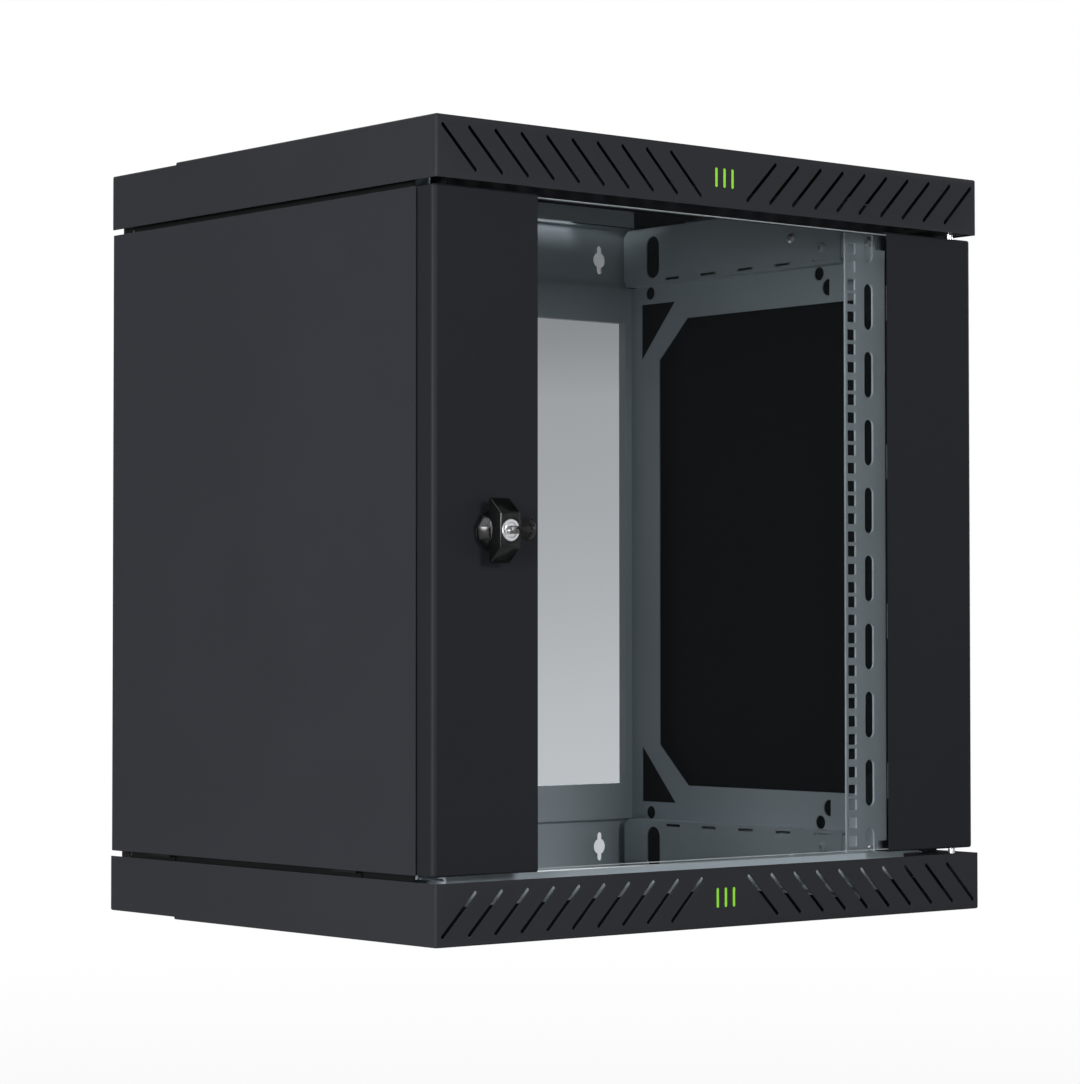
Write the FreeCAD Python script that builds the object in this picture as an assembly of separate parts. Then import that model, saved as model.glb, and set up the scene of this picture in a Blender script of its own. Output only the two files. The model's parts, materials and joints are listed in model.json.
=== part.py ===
"""Wall mount network cabinet: twelve units high, with a glass door and lift-off side panels.

Frame: origin at the middle of the footprint on the underside of the bottom cap,
+X to the right seen from the front, +Y to the wall, +Z up. All sizes are millimetres.
Bottom and right-hand pieces are drawn; top and left-hand ones are their mirror images.
"""
import FreeCAD
import Part
import math
import os

V = FreeCAD.Vector

# ---------------------------------------------------------------- driving dimensions
width = 600.0                # over the side panels and the caps
depth = 450.0                # front of the caps to the wall
height = 635.0               # underside of the bottom cap to the top of the top cap

contact_gap = 0.3            # pieces that are meant to stay just clear of each other
running_gap = 0.05           # radial play of a pin or a lock cylinder in its hole
screw_gap = 0.2              # radial play of a screw in its hole

# caps: folded trays that close the top and the bottom
cap_height = 48.5
cap_sheet = 1.2
cap_bend = 1.8               # outside radius of the long folds
cap_gap = 4.5                # open joint between a cap and the door or a side panel
entry_width = 426.0          # cable entry cut out of the rear of each cap
entry_depth = 98.0           # from the wall to the front lip of the cable entry
entry_lip = 16.0             # depth of the folded lip at the front of the cable entry
entry_step = 2.0             # the sheet beside the cable entry sits this much further in
vent_count = 10              # slanted vents in each half of the front wall
vent_pitch = 26.1
vent_length = 48.4
vent_width = 3.2
vent_edge = 22.9             # cap's side to the middle of the first vent
vent_lean = 45.0             # degrees
accent_count = 3             # plain coloured bars let into the middle of the front wall
accent_width = 2.6
accent_length = 16.0
accent_pitch = 9.0
accent_depth = 0.6

# frame: two side frames, depth beams, rear cross bars, rear posts and front bars
frame_inset = 10.0           # cabinet's side to the outer face of the side frame
frame_sheet = 1.5
frame_front = 40.0           # caps' front to the side frame's front edge
front_post = 60.0            # widths of the four members of a side frame
rear_post = 47.2
side_bar = 95.0
gusset_y = 40.0              # corner cut of the side frame's opening, along the depth
gusset_z = 38.0              # and along the height
light_y = 48.0               # triangular hole behind each rear gusset
light_z = 54.0
light_rear = 22.0            # side frame's rear edge to the triangle
light_end = 78.0             # cabinet's end to the triangle
tie_hole_r = 6.2             # round tie holes just beyond the depth beam's fold
tie_hole_rear = 34.5         # side frame's rear edge to the first, and to the second
tie_hole_front = 265.5
loop_r = 7.5                 # D-shaped tie loop
loop_rear = 277.0
loop_z = 81.0
loop_flat = 1.9              # middle of the loop to its straight side

beam_set = 23.5              # cabinet's side to the outer face of a depth beam's web
beam_front = 139.5           # caps' front to the beam's front end
beam_rear = 13.0             # wall to the beam's rear end
beam_low = 7.0               # cabinet's end to the beam's outer flange
beam_fold = 61.5             # cabinet's end to the beam's inner fold
beam_corner = 6.0
beam_slot_width = 18.6
beam_slot_length = 40.2
beam_slot_rear = 54.5        # wall to the middle of the cable slot
beam_slot_z = 35.2
tie_slit_length = 20.0
tie_slit_width = 2.6
tie_slit_pitch = 50.0
tie_slit_count = 5
tie_slit_front = 168.0       # caps' front to the first slit
tie_slit_fold = 4.0          # beam's fold to the middle of a slit
notch_width = 3.0            # relief notch in the beam's front end
notch_length = 33.0

wall_sheet = 1.5             # rear cross bars and posts
bar_setback = 9.0            # wall to the front face of a rear cross bar
plate_top = 62.5             # cabinet's end to the fold above the keyhole plate
rear_open_z = 95.3           # cabinet's end to the rear opening
rear_open_set = 20.0         # cabinet's side to the rear opening's side
plate_foot = 12.0            # foot of the keyhole plate, folded forward under the cap
side_tab_low = 12.0          # cabinet's end to the tab that is riveted to the side frame
keyhole_set = 46.5           # cabinet's side to a keyhole
keyhole_z = 35.0
keyhole_r = 7.5
keyhole_slot = 6.0
keyhole_height = 27.0
side_tab = 24.0              # reach of that tab towards the front

front_bar_set = 35.0         # caps' front to the front bar
front_bar_end = 37.5         # cabinet's side to the front bar's end
front_bar_low = 26.8
front_bar_high = 50.5
front_bar_flange = 10.0
front_tab = 40.0
corner_low = 30.0            # corner brackets between a front bar and a side frame
corner_high = 47.0
corner_back = 75.0

# 19 inch rails
rail_sheet = 2.0
rail_bend = 3.0
rail_set = 86.0              # caps' front to the rails' front face
rail_width = 51.5            # leaves the standard 450 mm opening between the rails
rail_side = 50.0             # depth of the rail's side flange at its ends
rail_lip = 12.0              # and between them, clear of the view through the holes
rail_tab = 43.0              # rail's end to the step in its side flange
rail_end = 35.0              # cabinet's end to the rail's end
rack_hole_set = 7.55         # rail's inner edge to its holes, 465.1 mm between the columns
rack_hole = 9.5
rack_units = 12
unit = 44.45
unit_steps = (6.35, 22.225, 38.1)    # holes inside one unit
cable_slot_set = 29.0        # rail's inner edge to its cable slots
cable_slot_width = 10.5
cable_slot_length = 40.7
cable_slot_pitch = 60.0
cable_slot_count = 10
rail_notch_x = 14.0
rail_notch_y = 9.0
rail_notch_z = 56.3          # cabinet's end to the notch in the rail's outer corner
splice_sheet = 2.0
splice_front = 95.0
splice_rear = 185.0
splice_low = 12.0
splice_high = 58.0
bolt_r = 3.0                 # M6 bolts of the rails
bolt_head_r = 5.0
bolt_head = 4.0
bolt_round = 2.4
bolt_nut_across = 10.0
bolt_spread = 6.5            # middle of the rail's flange to each of its bolts
beam_bolt_set = 165.25       # caps' front to the bolts in the beam

# side panels
panel_sheet = 1.2
panel_front = 25.3           # caps' front to the panel's front edge
panel_return = 8.0
panel_relief = 11.2          # the folded edges start this far behind the panel's front edge
panel_stop = 11.0            # cabinet's side to the free edge of the panel's light stop
panel_bend = 1.8
rib_front = 134.0            # stiffener on the inside of each panel
rib_width = 40.0
rib_foot = 8.0
rib_depth = 5.0
rib_sheet = 1.0
rib_end = 18.0
lug_sheet = 1.5              # lugs that a panel stands on
lug_length = 30.0
lug_reach = 7.0
lug_leg = 14.0
lug_front = 120.0            # caps' front to the front lugs and clips
lug_rear = 70.0              # wall to the rear lugs and clips
clip_sheet = 0.8
clip_length = 24.0
clip_leg = 20.0

# door
door_set = 5.0               # caps' front to the door's front face
door_side = 1.5              # door is this much narrower than the cabinet on each side
door_sheet = 1.5
door_thick = 20.0            # front face to the rear edge of the side returns
door_bend = 4.0
strip_width = 103.5
strip_flange = 17.0
glass_thick = 4.0
glass_edge = 0.5
glass_lap = 18.0             # glass behind each strip
glass_end = 2.0              # strips are longer than the glass by this much at each end
seal_thick = 1.0
seal_width = 14.0
clip_count = 4               # glass clips on each strip
clip_end = 60.0
glass_clip_sheet = 1.5
glass_clip_width = 30.0
glass_clip_lap = 12.0
glass_clip_base = 24.0
glass_clip_space = 3.0
clip_screw_back = 14.4       # clip's upright to its screw
clip_screw_r = 2.0
clip_screw_head_r = 3.6
clip_screw_head = 2.2

# hinge pins
hinge_side = 21.0            # cabinet's side to the hinge axis
hinge_set = 12.0             # caps' front to the hinge axis
pin_r = 3.0
pin_engage = 1.0             # tip of the pin beyond the lug
pin_length = 52.0
pin_collar_r = 5.0
pin_collar = 1.5
pin_collar_up = 6.0          # door's edge to the collar
pin_lever_r = 2.4
pin_lever = 22.0
pin_edge = 0.75
hinge_lug_sheet = 3.0
hinge_lug_ends = (57.0, 10.5)        # cabinet's side to the lug's ends
hinge_lug_front = 3.0
hinge_lug_leg = 20.0
hinge_tab_up = 26.0          # door's edge to the tab that guides the pin
hinge_tab_sheet = 2.0
hinge_tab_half = 9.0
hinge_plate = 34.0
spring_wire = 0.45
spring_r = 4.0
spring_turns = 6

# lock
lock_side = 57.0             # cabinet's side to the lock's axis
barrel_r = 11.0
barrel_flange_r = 14.0
barrel_flange = 2.0
barrel_back = 20.0           # length of the barrel behind the strip's front face
cylinder_r = 8.75
cylinder_face = 26.0         # door's front face to the cylinder's face
cylinder_edge = 0.7
cylinder_tail_r = 5.0
cylinder_tail_end = 1.0      # tail beyond the cam's nut
plug_r = 6.0
plug_set = 0.4               # cylinder's face to the plug's face
plug_length = 28.6
plug_bore = 30.5
knob_r = 16.5
knob_rim = 3.0               # straight edge of the hub before its cone
knob_top_r = 12.5
knob_cone = 11.0             # knob's base to the top of the hub's cone
knob_height = 23.0
wing_half = 25.0
wing_front_half = 13.5
wing_width = 19.6
wing_back = 8.0              # knob's base to the back of the wings
wing_rim = 2.0
wing_edge = 1.5
nut_across = 26.0
nut_height = 4.5
cam_length = 38.0
cam_width = 14.0
cam_sheet = 2.5
cam_set = 1.0                # barrel's back to the cam
cam_corner = 2.8
cam_boss_r = 8.4
cam_nut_across = 13.0
cam_nut_height = 3.5
key_sheet = 2.0
key_bow_r = 9.0
key_bow_hole_r = 2.6
key_bow_set = 8.1            # end of the shank to the middle of the bow
key_hole_set = 4.5           # middle of the bow to its hole
key_shank = 11.0
key_width = 6.4
key_blade = 19.0
key_cut_count = 4
key_cut_first = 3.0
key_cut_width = 1.5
key_cut_pitch = 4.0
key_cut_depths = (0.8, 1.1)
strike_sheet = 2.0
strike_set = 21.0            # caps' front to the strike's front face
strike_reach = 32.0          # cabinet's side to the strike's free edge
strike_half = 18.0
strike_leg = 20.0            # part of the strike's leg that lies on the side frame
buffer_r = 4.0
buffer_rise = 12.0           # lock's axis to each buffer

# small fasteners
cap_screw_set = 205.0        # caps' front to the screws that hold a cap
cap_screw_z = 34.5
cap_screw_r = 2.4
cap_screw_head_r = 4.5
cap_screw_head = 3.0
cap_screw_round = 1.65
cap_screw_length = 20.0
cap_bracket_width = 30.0
cap_bracket_height = 22.0
rivet_r = 2.0
rivet_head_r = 3.6
rivet_head = 1.0
rivet_rows = (18.0, 34.0, 50.0)
earth_x = 180.0
earth_r = 3.0
earth_length = 14.0
earth_washer_r = 7.0
earth_washer = 1.2
earth_nut_across = 10.0
earth_nut_height = 4.5

# ---------------------------------------------------------------- places worked out from them
half_w = width / 2
mid_z = height / 2
front_y = -depth / 2
wall_y = depth / 2
step_y = wall_y - entry_depth
ear_z = entry_step + cap_sheet           # inner face of the sheet beside the cable entry
frame_out = half_w - frame_inset
frame_in = frame_out - frame_sheet
ring_front = front_y + frame_front
ring_rear = wall_y - wall_sheet
beam_web = half_w - beam_set
web_in = beam_web - frame_sheet
beam_y0 = front_y + beam_front
beam_y1 = wall_y - beam_rear
bar_y = wall_y - bar_setback
rear_open_x = half_w - rear_open_set
keyhole_x = half_w - keyhole_set
front_bar_half = half_w - front_bar_end
panel_y0 = front_y + panel_front
lug_rows = (front_y + lug_front, wall_y - lug_rear)
panel_z0 = cap_height + cap_gap
door_y = front_y + door_set
door_x = half_w - door_side
door_z0 = panel_z0
strip_in = door_x - strip_width
strip_back = door_y + door_sheet
glass_y = strip_back + seal_thick
glass_back = glass_y + glass_thick
glass_half = strip_in + glass_lap
rail_y = front_y + rail_set
rail_inner = beam_web - rail_width
rack_hole_x = rail_inner + rack_hole_set
cable_slot_x = rail_inner + cable_slot_set
rack_low = mid_z - rack_units * unit / 2
hinge_x = half_w - hinge_side
hinge_y = front_y + hinge_set
lug_top = cap_height
pin_tip = lug_top - hinge_lug_sheet - pin_engage
collar_z = door_z0 + pin_collar_up
tab_z = door_z0 + hinge_tab_up
lock_x = lock_side - half_w
cam_y = door_y + barrel_back + cam_set
strike_in = half_w - strike_reach
front_bar_y = front_y + front_bar_set
past = 1.0                   # a cutter runs on beyond a surface by this much
tolerance = 1e-4


# ---------------------------------------------------------------- helpers
def box(x0, x1, y0, y1, z0, z1):
    """Block between two corners."""
    return Part.makeBox(x1 - x0, y1 - y0, z1 - z0, V(x0, y0, z0))


def side_box(side, x0, x1, y0, y1, z0, z1):
    """Block on the right (side 1), or the same one on the left (side -1)."""
    ends = sorted((side * x0, side * x1))
    return box(ends[0], ends[1], y0, y1, z0, z1)


def rod(radius, start, end):
    """Cylinder from one point to another."""
    way = end - start
    return Part.makeCylinder(radius, way.Length, start, way)


def cone(r0, r1, start, end):
    """Cone from one point to another."""
    way = end - start
    return Part.makeCone(r0, r1, way.Length, start, way)


def prism(points, way):
    """Solid made by moving a closed outline along a vector."""
    outline = Part.makePolygon(points + [points[0]])
    return Part.Face(outline).extrude(way)


def hexagon(across, centre, way):
    """Hexagonal nut blank on an axis through its centre."""
    radius = across / math.sqrt(3.0)
    points = []
    for i in range(6):
        angle = i * math.pi / 3
        points.append(V(radius * math.cos(angle), radius * math.sin(angle), 0))
    blank = prism(points, V(0, 0, way.Length))
    blank.Placement = FreeCAD.Placement(centre, FreeCAD.Rotation(V(0, 0, 1), way))
    return blank


def slot_along_z(across, length, centre, through):
    """Stadium-shaped cutter, long along Z, that passes along a vector."""
    r = across / 2
    straight = length / 2 - r
    side = through.cross(V(0, 0, 1)).normalize() * r
    up = V(0, 0, straight)
    a = centre - side - up
    b = centre - side + up
    c = centre + side + up
    d = centre + side - up
    edges = [Part.makeLine(a, b), Part.Arc(b, centre + up + V(0, 0, r), c).toShape(),
             Part.makeLine(c, d), Part.Arc(d, centre - up - V(0, 0, r), a).toShape()]
    return Part.Face(Part.Wire(edges)).extrude(through)


def flip_z(shape):
    """The same piece for the top of the cabinet."""
    return shape.mirror(V(0, 0, mid_z), V(0, 0, 1))


def flip_x(shape):
    """The same piece for the left of the cabinet."""
    return shape.mirror(V(0, 0, 0), V(1, 0, 0))


def group(shapes):
    """Separate solids that share one node."""
    return Part.makeCompound(shapes)


def all_corners(shape):
    """Four copies: bottom right, bottom left, top right and top left."""
    left = flip_x(shape)
    return [shape, left, flip_z(shape), flip_z(left)]


def round_edges(shape, radius, chosen):
    """Round the straight edges whose middle and direction pass the test."""
    edges = []
    for edge in shape.Edges:
        if len(edge.Vertexes) != 2:
            continue
        start, end = edge.Vertexes[0].Point, edge.Vertexes[1].Point
        way = end - start
        if way.Length > 0 and chosen((start + end) * 0.5, way.normalize()):
            edges.append(edge)
    return shape.makeFillet(radius, edges)


def near(a, b):
    """Two sizes are the same."""
    return abs(a - b) < tolerance


# ---------------------------------------------------------------- caps
def cap():
    """Bottom cap: a folded tray, open at the rear, with a cable entry and slanted vents."""
    tray = box(-half_w, half_w, front_y, step_y + cap_sheet, 0, cap_height)
    rear = box(-half_w, half_w, step_y, wall_y, entry_step, cap_height)
    shell = tray.fuse(rear).removeSplitter()
    shell = round_edges(shell, cap_bend, lambda m, w: near(m.z, 0) and near(m.y, front_y)
                        or near(abs(m.x), half_w) and near(abs(w.y), 1)
                        and (near(m.z, 0) or near(m.z, entry_step)))
    inner = box(-half_w + cap_sheet, half_w - cap_sheet, front_y + cap_sheet, step_y,
                cap_sheet, cap_height)
    inner_rear = box(-half_w + cap_sheet, half_w - cap_sheet, step_y, wall_y, ear_z, cap_height)
    bend_in = cap_bend - cap_sheet
    inner = round_edges(inner, bend_in, lambda m, w: near(m.z, cap_sheet) and
                        (near(abs(w.x), 1) and m.y < 0 or near(abs(w.y), 1)))
    shell = shell.cut(inner).cut(inner_rear)
    entry = box(-entry_width / 2, entry_width / 2, step_y + cap_sheet, wall_y, 0, ear_z)
    lip = box(-entry_width / 2, entry_width / 2, step_y, step_y + cap_sheet, 0, entry_lip)
    shell = shell.cut(entry).fuse(lip)
    vents = []
    for i in range(vent_count):
        x = half_w - vent_edge - i * vent_pitch
        for side in (1, -1):
            cutter = slot_along_z(vent_width, vent_length, V(0, -cap_sheet, 0),
                                  V(0, 3 * cap_sheet, 0))
            cutter.rotate(V(0, 0, 0), V(0, 1, 0), -side * vent_lean)
            cutter.translate(V(side * x, front_y, cap_height / 2))
            vents.append(cutter)
    return shell.cut(vents).cut(accents()).removeSplitter()


def accents():
    """Plain upright bars let into the middle of the cap's front wall."""
    bars = []
    for i in range(accent_count):
        x = (i - (accent_count - 1) / 2) * accent_pitch
        bars.append(box(x - accent_width / 2, x + accent_width / 2, front_y,
                        front_y + accent_depth,
                        (cap_height - accent_length) / 2, (cap_height + accent_length) / 2))
    return bars


def cap_brackets():
    """Channel on the inside of each cap wall that the cap screws reach."""
    y = front_y + cap_screw_set
    half = cap_bracket_width / 2
    low = cap_screw_z - cap_bracket_height / 2
    block = box(frame_out, half_w - cap_sheet, y - half, y + half, low,
                low + cap_bracket_height)
    hollow = box(frame_out + frame_sheet, half_w - cap_sheet, y - half + frame_sheet,
                 y + half - frame_sheet, low, low + cap_bracket_height)
    hole = rod(cap_screw_r + screw_gap, V(frame_out, y, cap_screw_z), V(half_w, y, cap_screw_z))
    return group(all_corners(block.cut(hollow).cut(hole.common(block))))


def cap_screws():
    """Pan-head screws through the beam's web and the side frame into the cap brackets."""
    y = front_y + cap_screw_set
    head = rod(cap_screw_head_r, V(web_in - cap_screw_head, y, cap_screw_z),
               V(web_in, y, cap_screw_z))
    head = head.makeFillet(cap_screw_round, [e for e in head.Edges
                           if near(e.CenterOfMass.x, web_in - cap_screw_head)])
    shank = rod(cap_screw_r, V(web_in, y, cap_screw_z),
                V(web_in + cap_screw_length, y, cap_screw_z))
    return group(all_corners(head.fuse(shank)))


# ---------------------------------------------------------------- frame
def side_frame():
    """Right side frame: one plate with a gusseted opening, triangles and tie holes."""
    x0, x1 = frame_in, frame_out
    plate = box(x0, x1, ring_front, ring_rear, cap_sheet, height - cap_sheet)
    y0, y1 = ring_front + front_post, ring_rear - rear_post
    z0, z1 = side_bar, height - side_bar
    way = V(frame_sheet, 0, 0)
    outline = [V(x0, y0 + gusset_y, z0), V(x0, y1 - gusset_y, z0), V(x0, y1, z0 + gusset_z),
               V(x0, y1, z1 - gusset_z), V(x0, y1 - gusset_y, z1), V(x0, y0 + gusset_y, z1),
               V(x0, y0, z1 - gusset_z), V(x0, y0, z0 + gusset_z)]
    cuts = [prism(outline, way)]
    rear = ring_rear - light_rear
    light = prism([V(x0, rear, light_end), V(x0, rear - light_y, light_end),
                   V(x0, rear, light_end + light_z)], way)
    fold = beam_fold + tie_hole_r
    ties = [rod(tie_hole_r, V(x0, ring_rear - d, fold), V(x1, ring_rear - d, fold))
            for d in (tie_hole_rear, tie_hole_front)]
    loop_y = ring_rear - loop_rear
    loop = rod(loop_r, V(x0, loop_y, loop_z), V(x1, loop_y, loop_z))
    loop = loop.cut(box(x0, x1, loop_y - 2 * loop_r, loop_y - loop_flat, loop_z - loop_r,
                        loop_z + loop_r))
    step = box(x0, x1, step_y - contact_gap, ring_rear, 0, ear_z)
    y = front_y + cap_screw_set
    screw = rod(cap_screw_r + screw_gap, V(x0, y, cap_screw_z), V(x1, y, cap_screw_z))
    rivets = [rod(rivet_r, V(x0, rivet_y(), z), V(x1, rivet_y(), z)) for z in rivet_rows]
    for cutter in [light, loop, step, screw] + ties + rivets:
        cuts += [cutter, flip_z(cutter)]
    return plate.cut(cuts)


def rivet_y():
    """Line of rivets that joins a cross bar's tab to a side frame."""
    return ring_rear - side_tab / 2 - wall_sheet


def depth_beam():
    """Bottom right depth beam: a channel on the side frame with slits along its fold."""
    block = box(web_in, frame_in, beam_y0, beam_y1, beam_low, beam_fold)
    hollow = box(beam_web, frame_in, beam_y0, beam_y1, beam_low + frame_sheet,
                 beam_fold - frame_sheet)
    beam = block.cut(hollow)
    through = V(2 * frame_sheet, 0, 0)
    start = web_in - frame_sheet / 2
    cuts = [slot_along_z(beam_slot_width, beam_slot_length,
                         V(start, wall_y - beam_slot_rear, beam_slot_z), through)]
    slit_z = beam_fold - tie_slit_fold
    for i in range(tie_slit_count):
        y = front_y + tie_slit_front + i * tie_slit_pitch
        cuts.append(box(start, beam_web, y - tie_slit_length / 2, y + tie_slit_length / 2,
                        slit_z - tie_slit_width / 2, slit_z + tie_slit_width / 2))
    cuts.append(box(start, frame_in, beam_y0, beam_y0 + notch_width,
                    beam_fold - notch_length, beam_fold - frame_sheet))
    for z, toward in ((beam_low, 1), (beam_fold, -1)):
        corner = [V(start, beam_y1, z), V(start, beam_y1 - beam_corner, z),
                  V(start, beam_y1, z + toward * beam_corner)]
        cuts.append(prism(corner, V(frame_in - start, 0, 0)))
    y = front_y + cap_screw_set
    cuts.append(rod(cap_screw_r + screw_gap, V(start, y, cap_screw_z),
                    V(beam_web, y, cap_screw_z)))
    cuts += splice_holes(start, beam_web)
    return beam.cut(cuts)


def rear_cross_bar():
    """Bottom rear cross bar: keyhole plate on the wall, fold, and bar around the opening."""
    x = frame_in
    y1 = wall_y
    t = wall_sheet
    plate = box(-x, x, y1 - t, y1, ear_z, plate_top)
    foot = box(-x, x, y1 - plate_foot, y1, ear_z, ear_z + t)
    shelf = box(-x, x, bar_y, y1, plate_top - t, plate_top)
    bar = box(-x, x, bar_y, bar_y + t, plate_top - t, rear_open_z)
    lip = box(-rear_open_x, rear_open_x, bar_y, y1, rear_open_z - t, rear_open_z)
    piece = plate.fuse([foot, shelf, bar, lip])
    for side in (1, -1):
        piece = piece.fuse(side_box(side, x - t, x, ring_rear - side_tab, y1, side_tab_low,
                                    beam_fold - frame_sheet - contact_gap))
    cuts = []
    for side in (1, -1):
        start = V(side * keyhole_x, y1 - 2 * t, keyhole_z)
        cuts.append(rod(keyhole_r, start, start + V(0, 3 * t, 0)))
        cuts.append(slot_along_z(keyhole_slot, keyhole_height, start, V(0, 3 * t, 0)))
        cuts += [rod(rivet_r, V(side * (x - 2 * t), rivet_y(), z), V(side * x, rivet_y(), z))
                 for z in rivet_rows]
    return piece.cut(cuts).removeSplitter()


def rear_post_piece():
    """Right rear post: a channel beside the rear opening, on the side frame."""
    t = wall_sheet
    z0, z1 = rear_open_z, height - rear_open_z
    block = box(rear_open_x, frame_in, bar_y, wall_y, z0, z1)
    hollow = box(rear_open_x + t, frame_in - t, bar_y + t, wall_y, z0, z1)
    return block.cut(hollow)


def front_bar():
    """Bottom front bar: a channel across the front, with a tab folded back at each end."""
    t = frame_sheet
    y = front_bar_y
    block = box(-front_bar_half, front_bar_half, y, y + front_bar_flange, front_bar_low,
                front_bar_high)
    hollow = box(-front_bar_half, front_bar_half, y + t, y + front_bar_flange,
                 front_bar_low + t, front_bar_high - t)
    bar = block.cut(hollow)
    for side in (1, -1):
        bar = bar.fuse(side_box(side, front_bar_half - t, front_bar_half, y, y + front_tab,
                                corner_low, corner_high))
    return bar.removeSplitter()


def corner_brackets():
    """Z-shaped brackets that join the front bars' tabs to the side frames."""
    t = frame_sheet
    x0, x1 = front_bar_half, frame_in
    y1 = front_y + corner_back
    y0 = front_bar_y + front_tab / 2
    a = box(x0, x0 + t, y0, y1, corner_low, corner_high)
    b = box(x0, x1, y1 - t, y1, corner_low, corner_high)
    c = box(x1 - t, x1, y0, y1, corner_low, corner_high)
    return group(all_corners(a.fuse([b, c]).removeSplitter()))


def rivets():
    """Blind rivets through the side frames and the cross bars' tabs."""
    pieces = []
    for z in rivet_rows:
        y = rivet_y()
        shank = rod(rivet_r, V(frame_in - wall_sheet, y, z), V(frame_out, y, z))
        for x0, way in ((frame_out, 1), (frame_in - wall_sheet, -1)):
            head = cone(rivet_head_r, rivet_r, V(x0, y, z), V(x0 + way * rivet_head, y, z))
            shank = shank.fuse(head)
        pieces += all_corners(shank)
    return group(pieces)


# ---------------------------------------------------------------- rails
def splice_holes(x0, x1):
    """Clearance holes of the four bolts of the bottom right splice plate."""
    return [rod(bolt_r + screw_gap, V(x0, y, z), V(x1, y, z)) for y, z in splice_bolts()]


def splice_bolts():
    """Places of the bolts: two through the rail's flange and two through the beam's web."""
    rail_mid = rail_y + rail_side / 2
    beam_at = front_y + beam_bolt_set
    high = (rail_end + splice_high) / 2
    spread = (splice_high - splice_low) / 4
    mid = (splice_low + splice_high) / 2
    return [(rail_mid - bolt_spread, high), (rail_mid + bolt_spread, high),
            (beam_at, mid - spread), (beam_at, mid + spread)]


def splice_plate():
    """Bottom right plate that carries the rail's end on the depth beam."""
    plate = box(beam_web, beam_web + splice_sheet, front_y + splice_front,
                front_y + splice_rear, splice_low, splice_high)
    return plate.cut(splice_holes(beam_web, beam_web + splice_sheet))


def splice_bolt_set():
    """Bolts with low round heads on the inside and nuts on the outside."""
    pieces = []
    for y, z in splice_bolts():
        inner = beam_web - rail_sheet if y < beam_y0 else web_in
        head = rod(bolt_head_r, V(inner - bolt_head, y, z), V(inner, y, z))
        head = head.makeFillet(bolt_round, [e for e in head.Edges
                               if near(e.CenterOfMass.x, inner - bolt_head)])
        outer = beam_web + splice_sheet
        shank = rod(bolt_r, V(inner, y, z), V(outer + bolt_head, y, z))
        nut = hexagon(bolt_nut_across, V(outer, y, z), V(bolt_head, 0, 0))
        pieces += all_corners(head.fuse([shank, nut]).removeSplitter())
    return group(pieces)


def rail():
    """Right front rail: angle with rack holes, cable slots and notched ends."""
    x1 = beam_web
    z0, z1 = rail_end, height - rail_end
    flange = box(rail_inner, x1, rail_y, rail_y + rail_sheet, z0, z1)
    side = box(x1 - rail_sheet, x1, rail_y, rail_y + rail_side, z0, z1)
    angle = flange.fuse(side).removeSplitter()
    angle = round_edges(angle, rail_bend, lambda m, w: near(abs(w.z), 1)
                        and near(m.x, x1) and near(m.y, rail_y))
    through = V(0, 2 * rail_sheet, 0)
    start_y = rail_y - rail_sheet / 2
    cuts = [box(x1 - rail_sheet, x1, rail_y + rail_lip, rail_y + rail_side,
                z0 + rail_tab, z1 - rail_tab)]
    half = rack_hole / 2
    for u in range(rack_units):
        for step in unit_steps:
            z = rack_low + u * unit + step
            cuts.append(box(rack_hole_x - half, rack_hole_x + half, start_y,
                            rail_y + rail_sheet, z - half, z + half))
    for i in range(cable_slot_count):
        z = mid_z + (i - (cable_slot_count - 1) / 2) * cable_slot_pitch
        cuts.append(slot_along_z(cable_slot_width, cable_slot_length,
                                 V(cable_slot_x, start_y, z), through))
    notch = box(x1 - rail_notch_x, x1, rail_y, rail_y + rail_notch_y, z0, rail_notch_z)
    cuts += [notch, flip_z(notch)]
    for hole in splice_holes(x1 - rail_sheet, x1):
        cuts += [hole, flip_z(hole)]
    return angle.cut(cuts)


# ---------------------------------------------------------------- side panels
def side_panel():
    """Right side panel: a sheet with three folded edges and a light stop near the door."""
    x1 = half_w
    z0, z1 = panel_z0, height - panel_z0
    block = box(x1 - panel_return, x1, panel_y0, wall_y, z0, z1)
    block = round_edges(block, panel_bend, lambda m, w: near(m.x, x1)
                        and not near(m.y, panel_y0))
    t = panel_sheet
    hollow = box(x1 - panel_return, x1 - t, panel_y0, wall_y - t, z0 + t, z1 - t)
    hollow = round_edges(hollow, panel_bend - t, lambda m, w: near(m.x, x1 - t)
                         and not near(m.y, panel_y0))
    relief = box(x1 - panel_return, x1 - t, panel_y0, panel_y0 + panel_relief, z0, z1)
    stop = box(x1 - panel_stop, x1 - t, panel_y0 + panel_relief, panel_y0 + panel_relief + t,
               z0, z1)
    return block.cut(hollow).cut(relief).fuse(stop).removeSplitter()


def panel_rib():
    """Upright stiffener on the inside of the right side panel."""
    x1 = half_w - panel_sheet
    y0 = front_y + rib_front
    z0 = panel_z0 + rib_end
    z1 = height - z0
    t = rib_sheet
    y1 = y0 + rib_foot
    y2 = y0 + rib_width - rib_foot
    outer = box(x1 - rib_depth, x1, y1, y2, z0, z1)
    inner = box(x1 - rib_depth + t, x1, y1 + t, y2 - t, z0, z1)
    feet = [box(x1 - t, x1, y0, y1 + t, z0, z1),
            box(x1 - t, x1, y2 - t, y0 + rib_width, z0, z1)]
    return outer.cut(inner).fuse(feet).removeSplitter()


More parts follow.
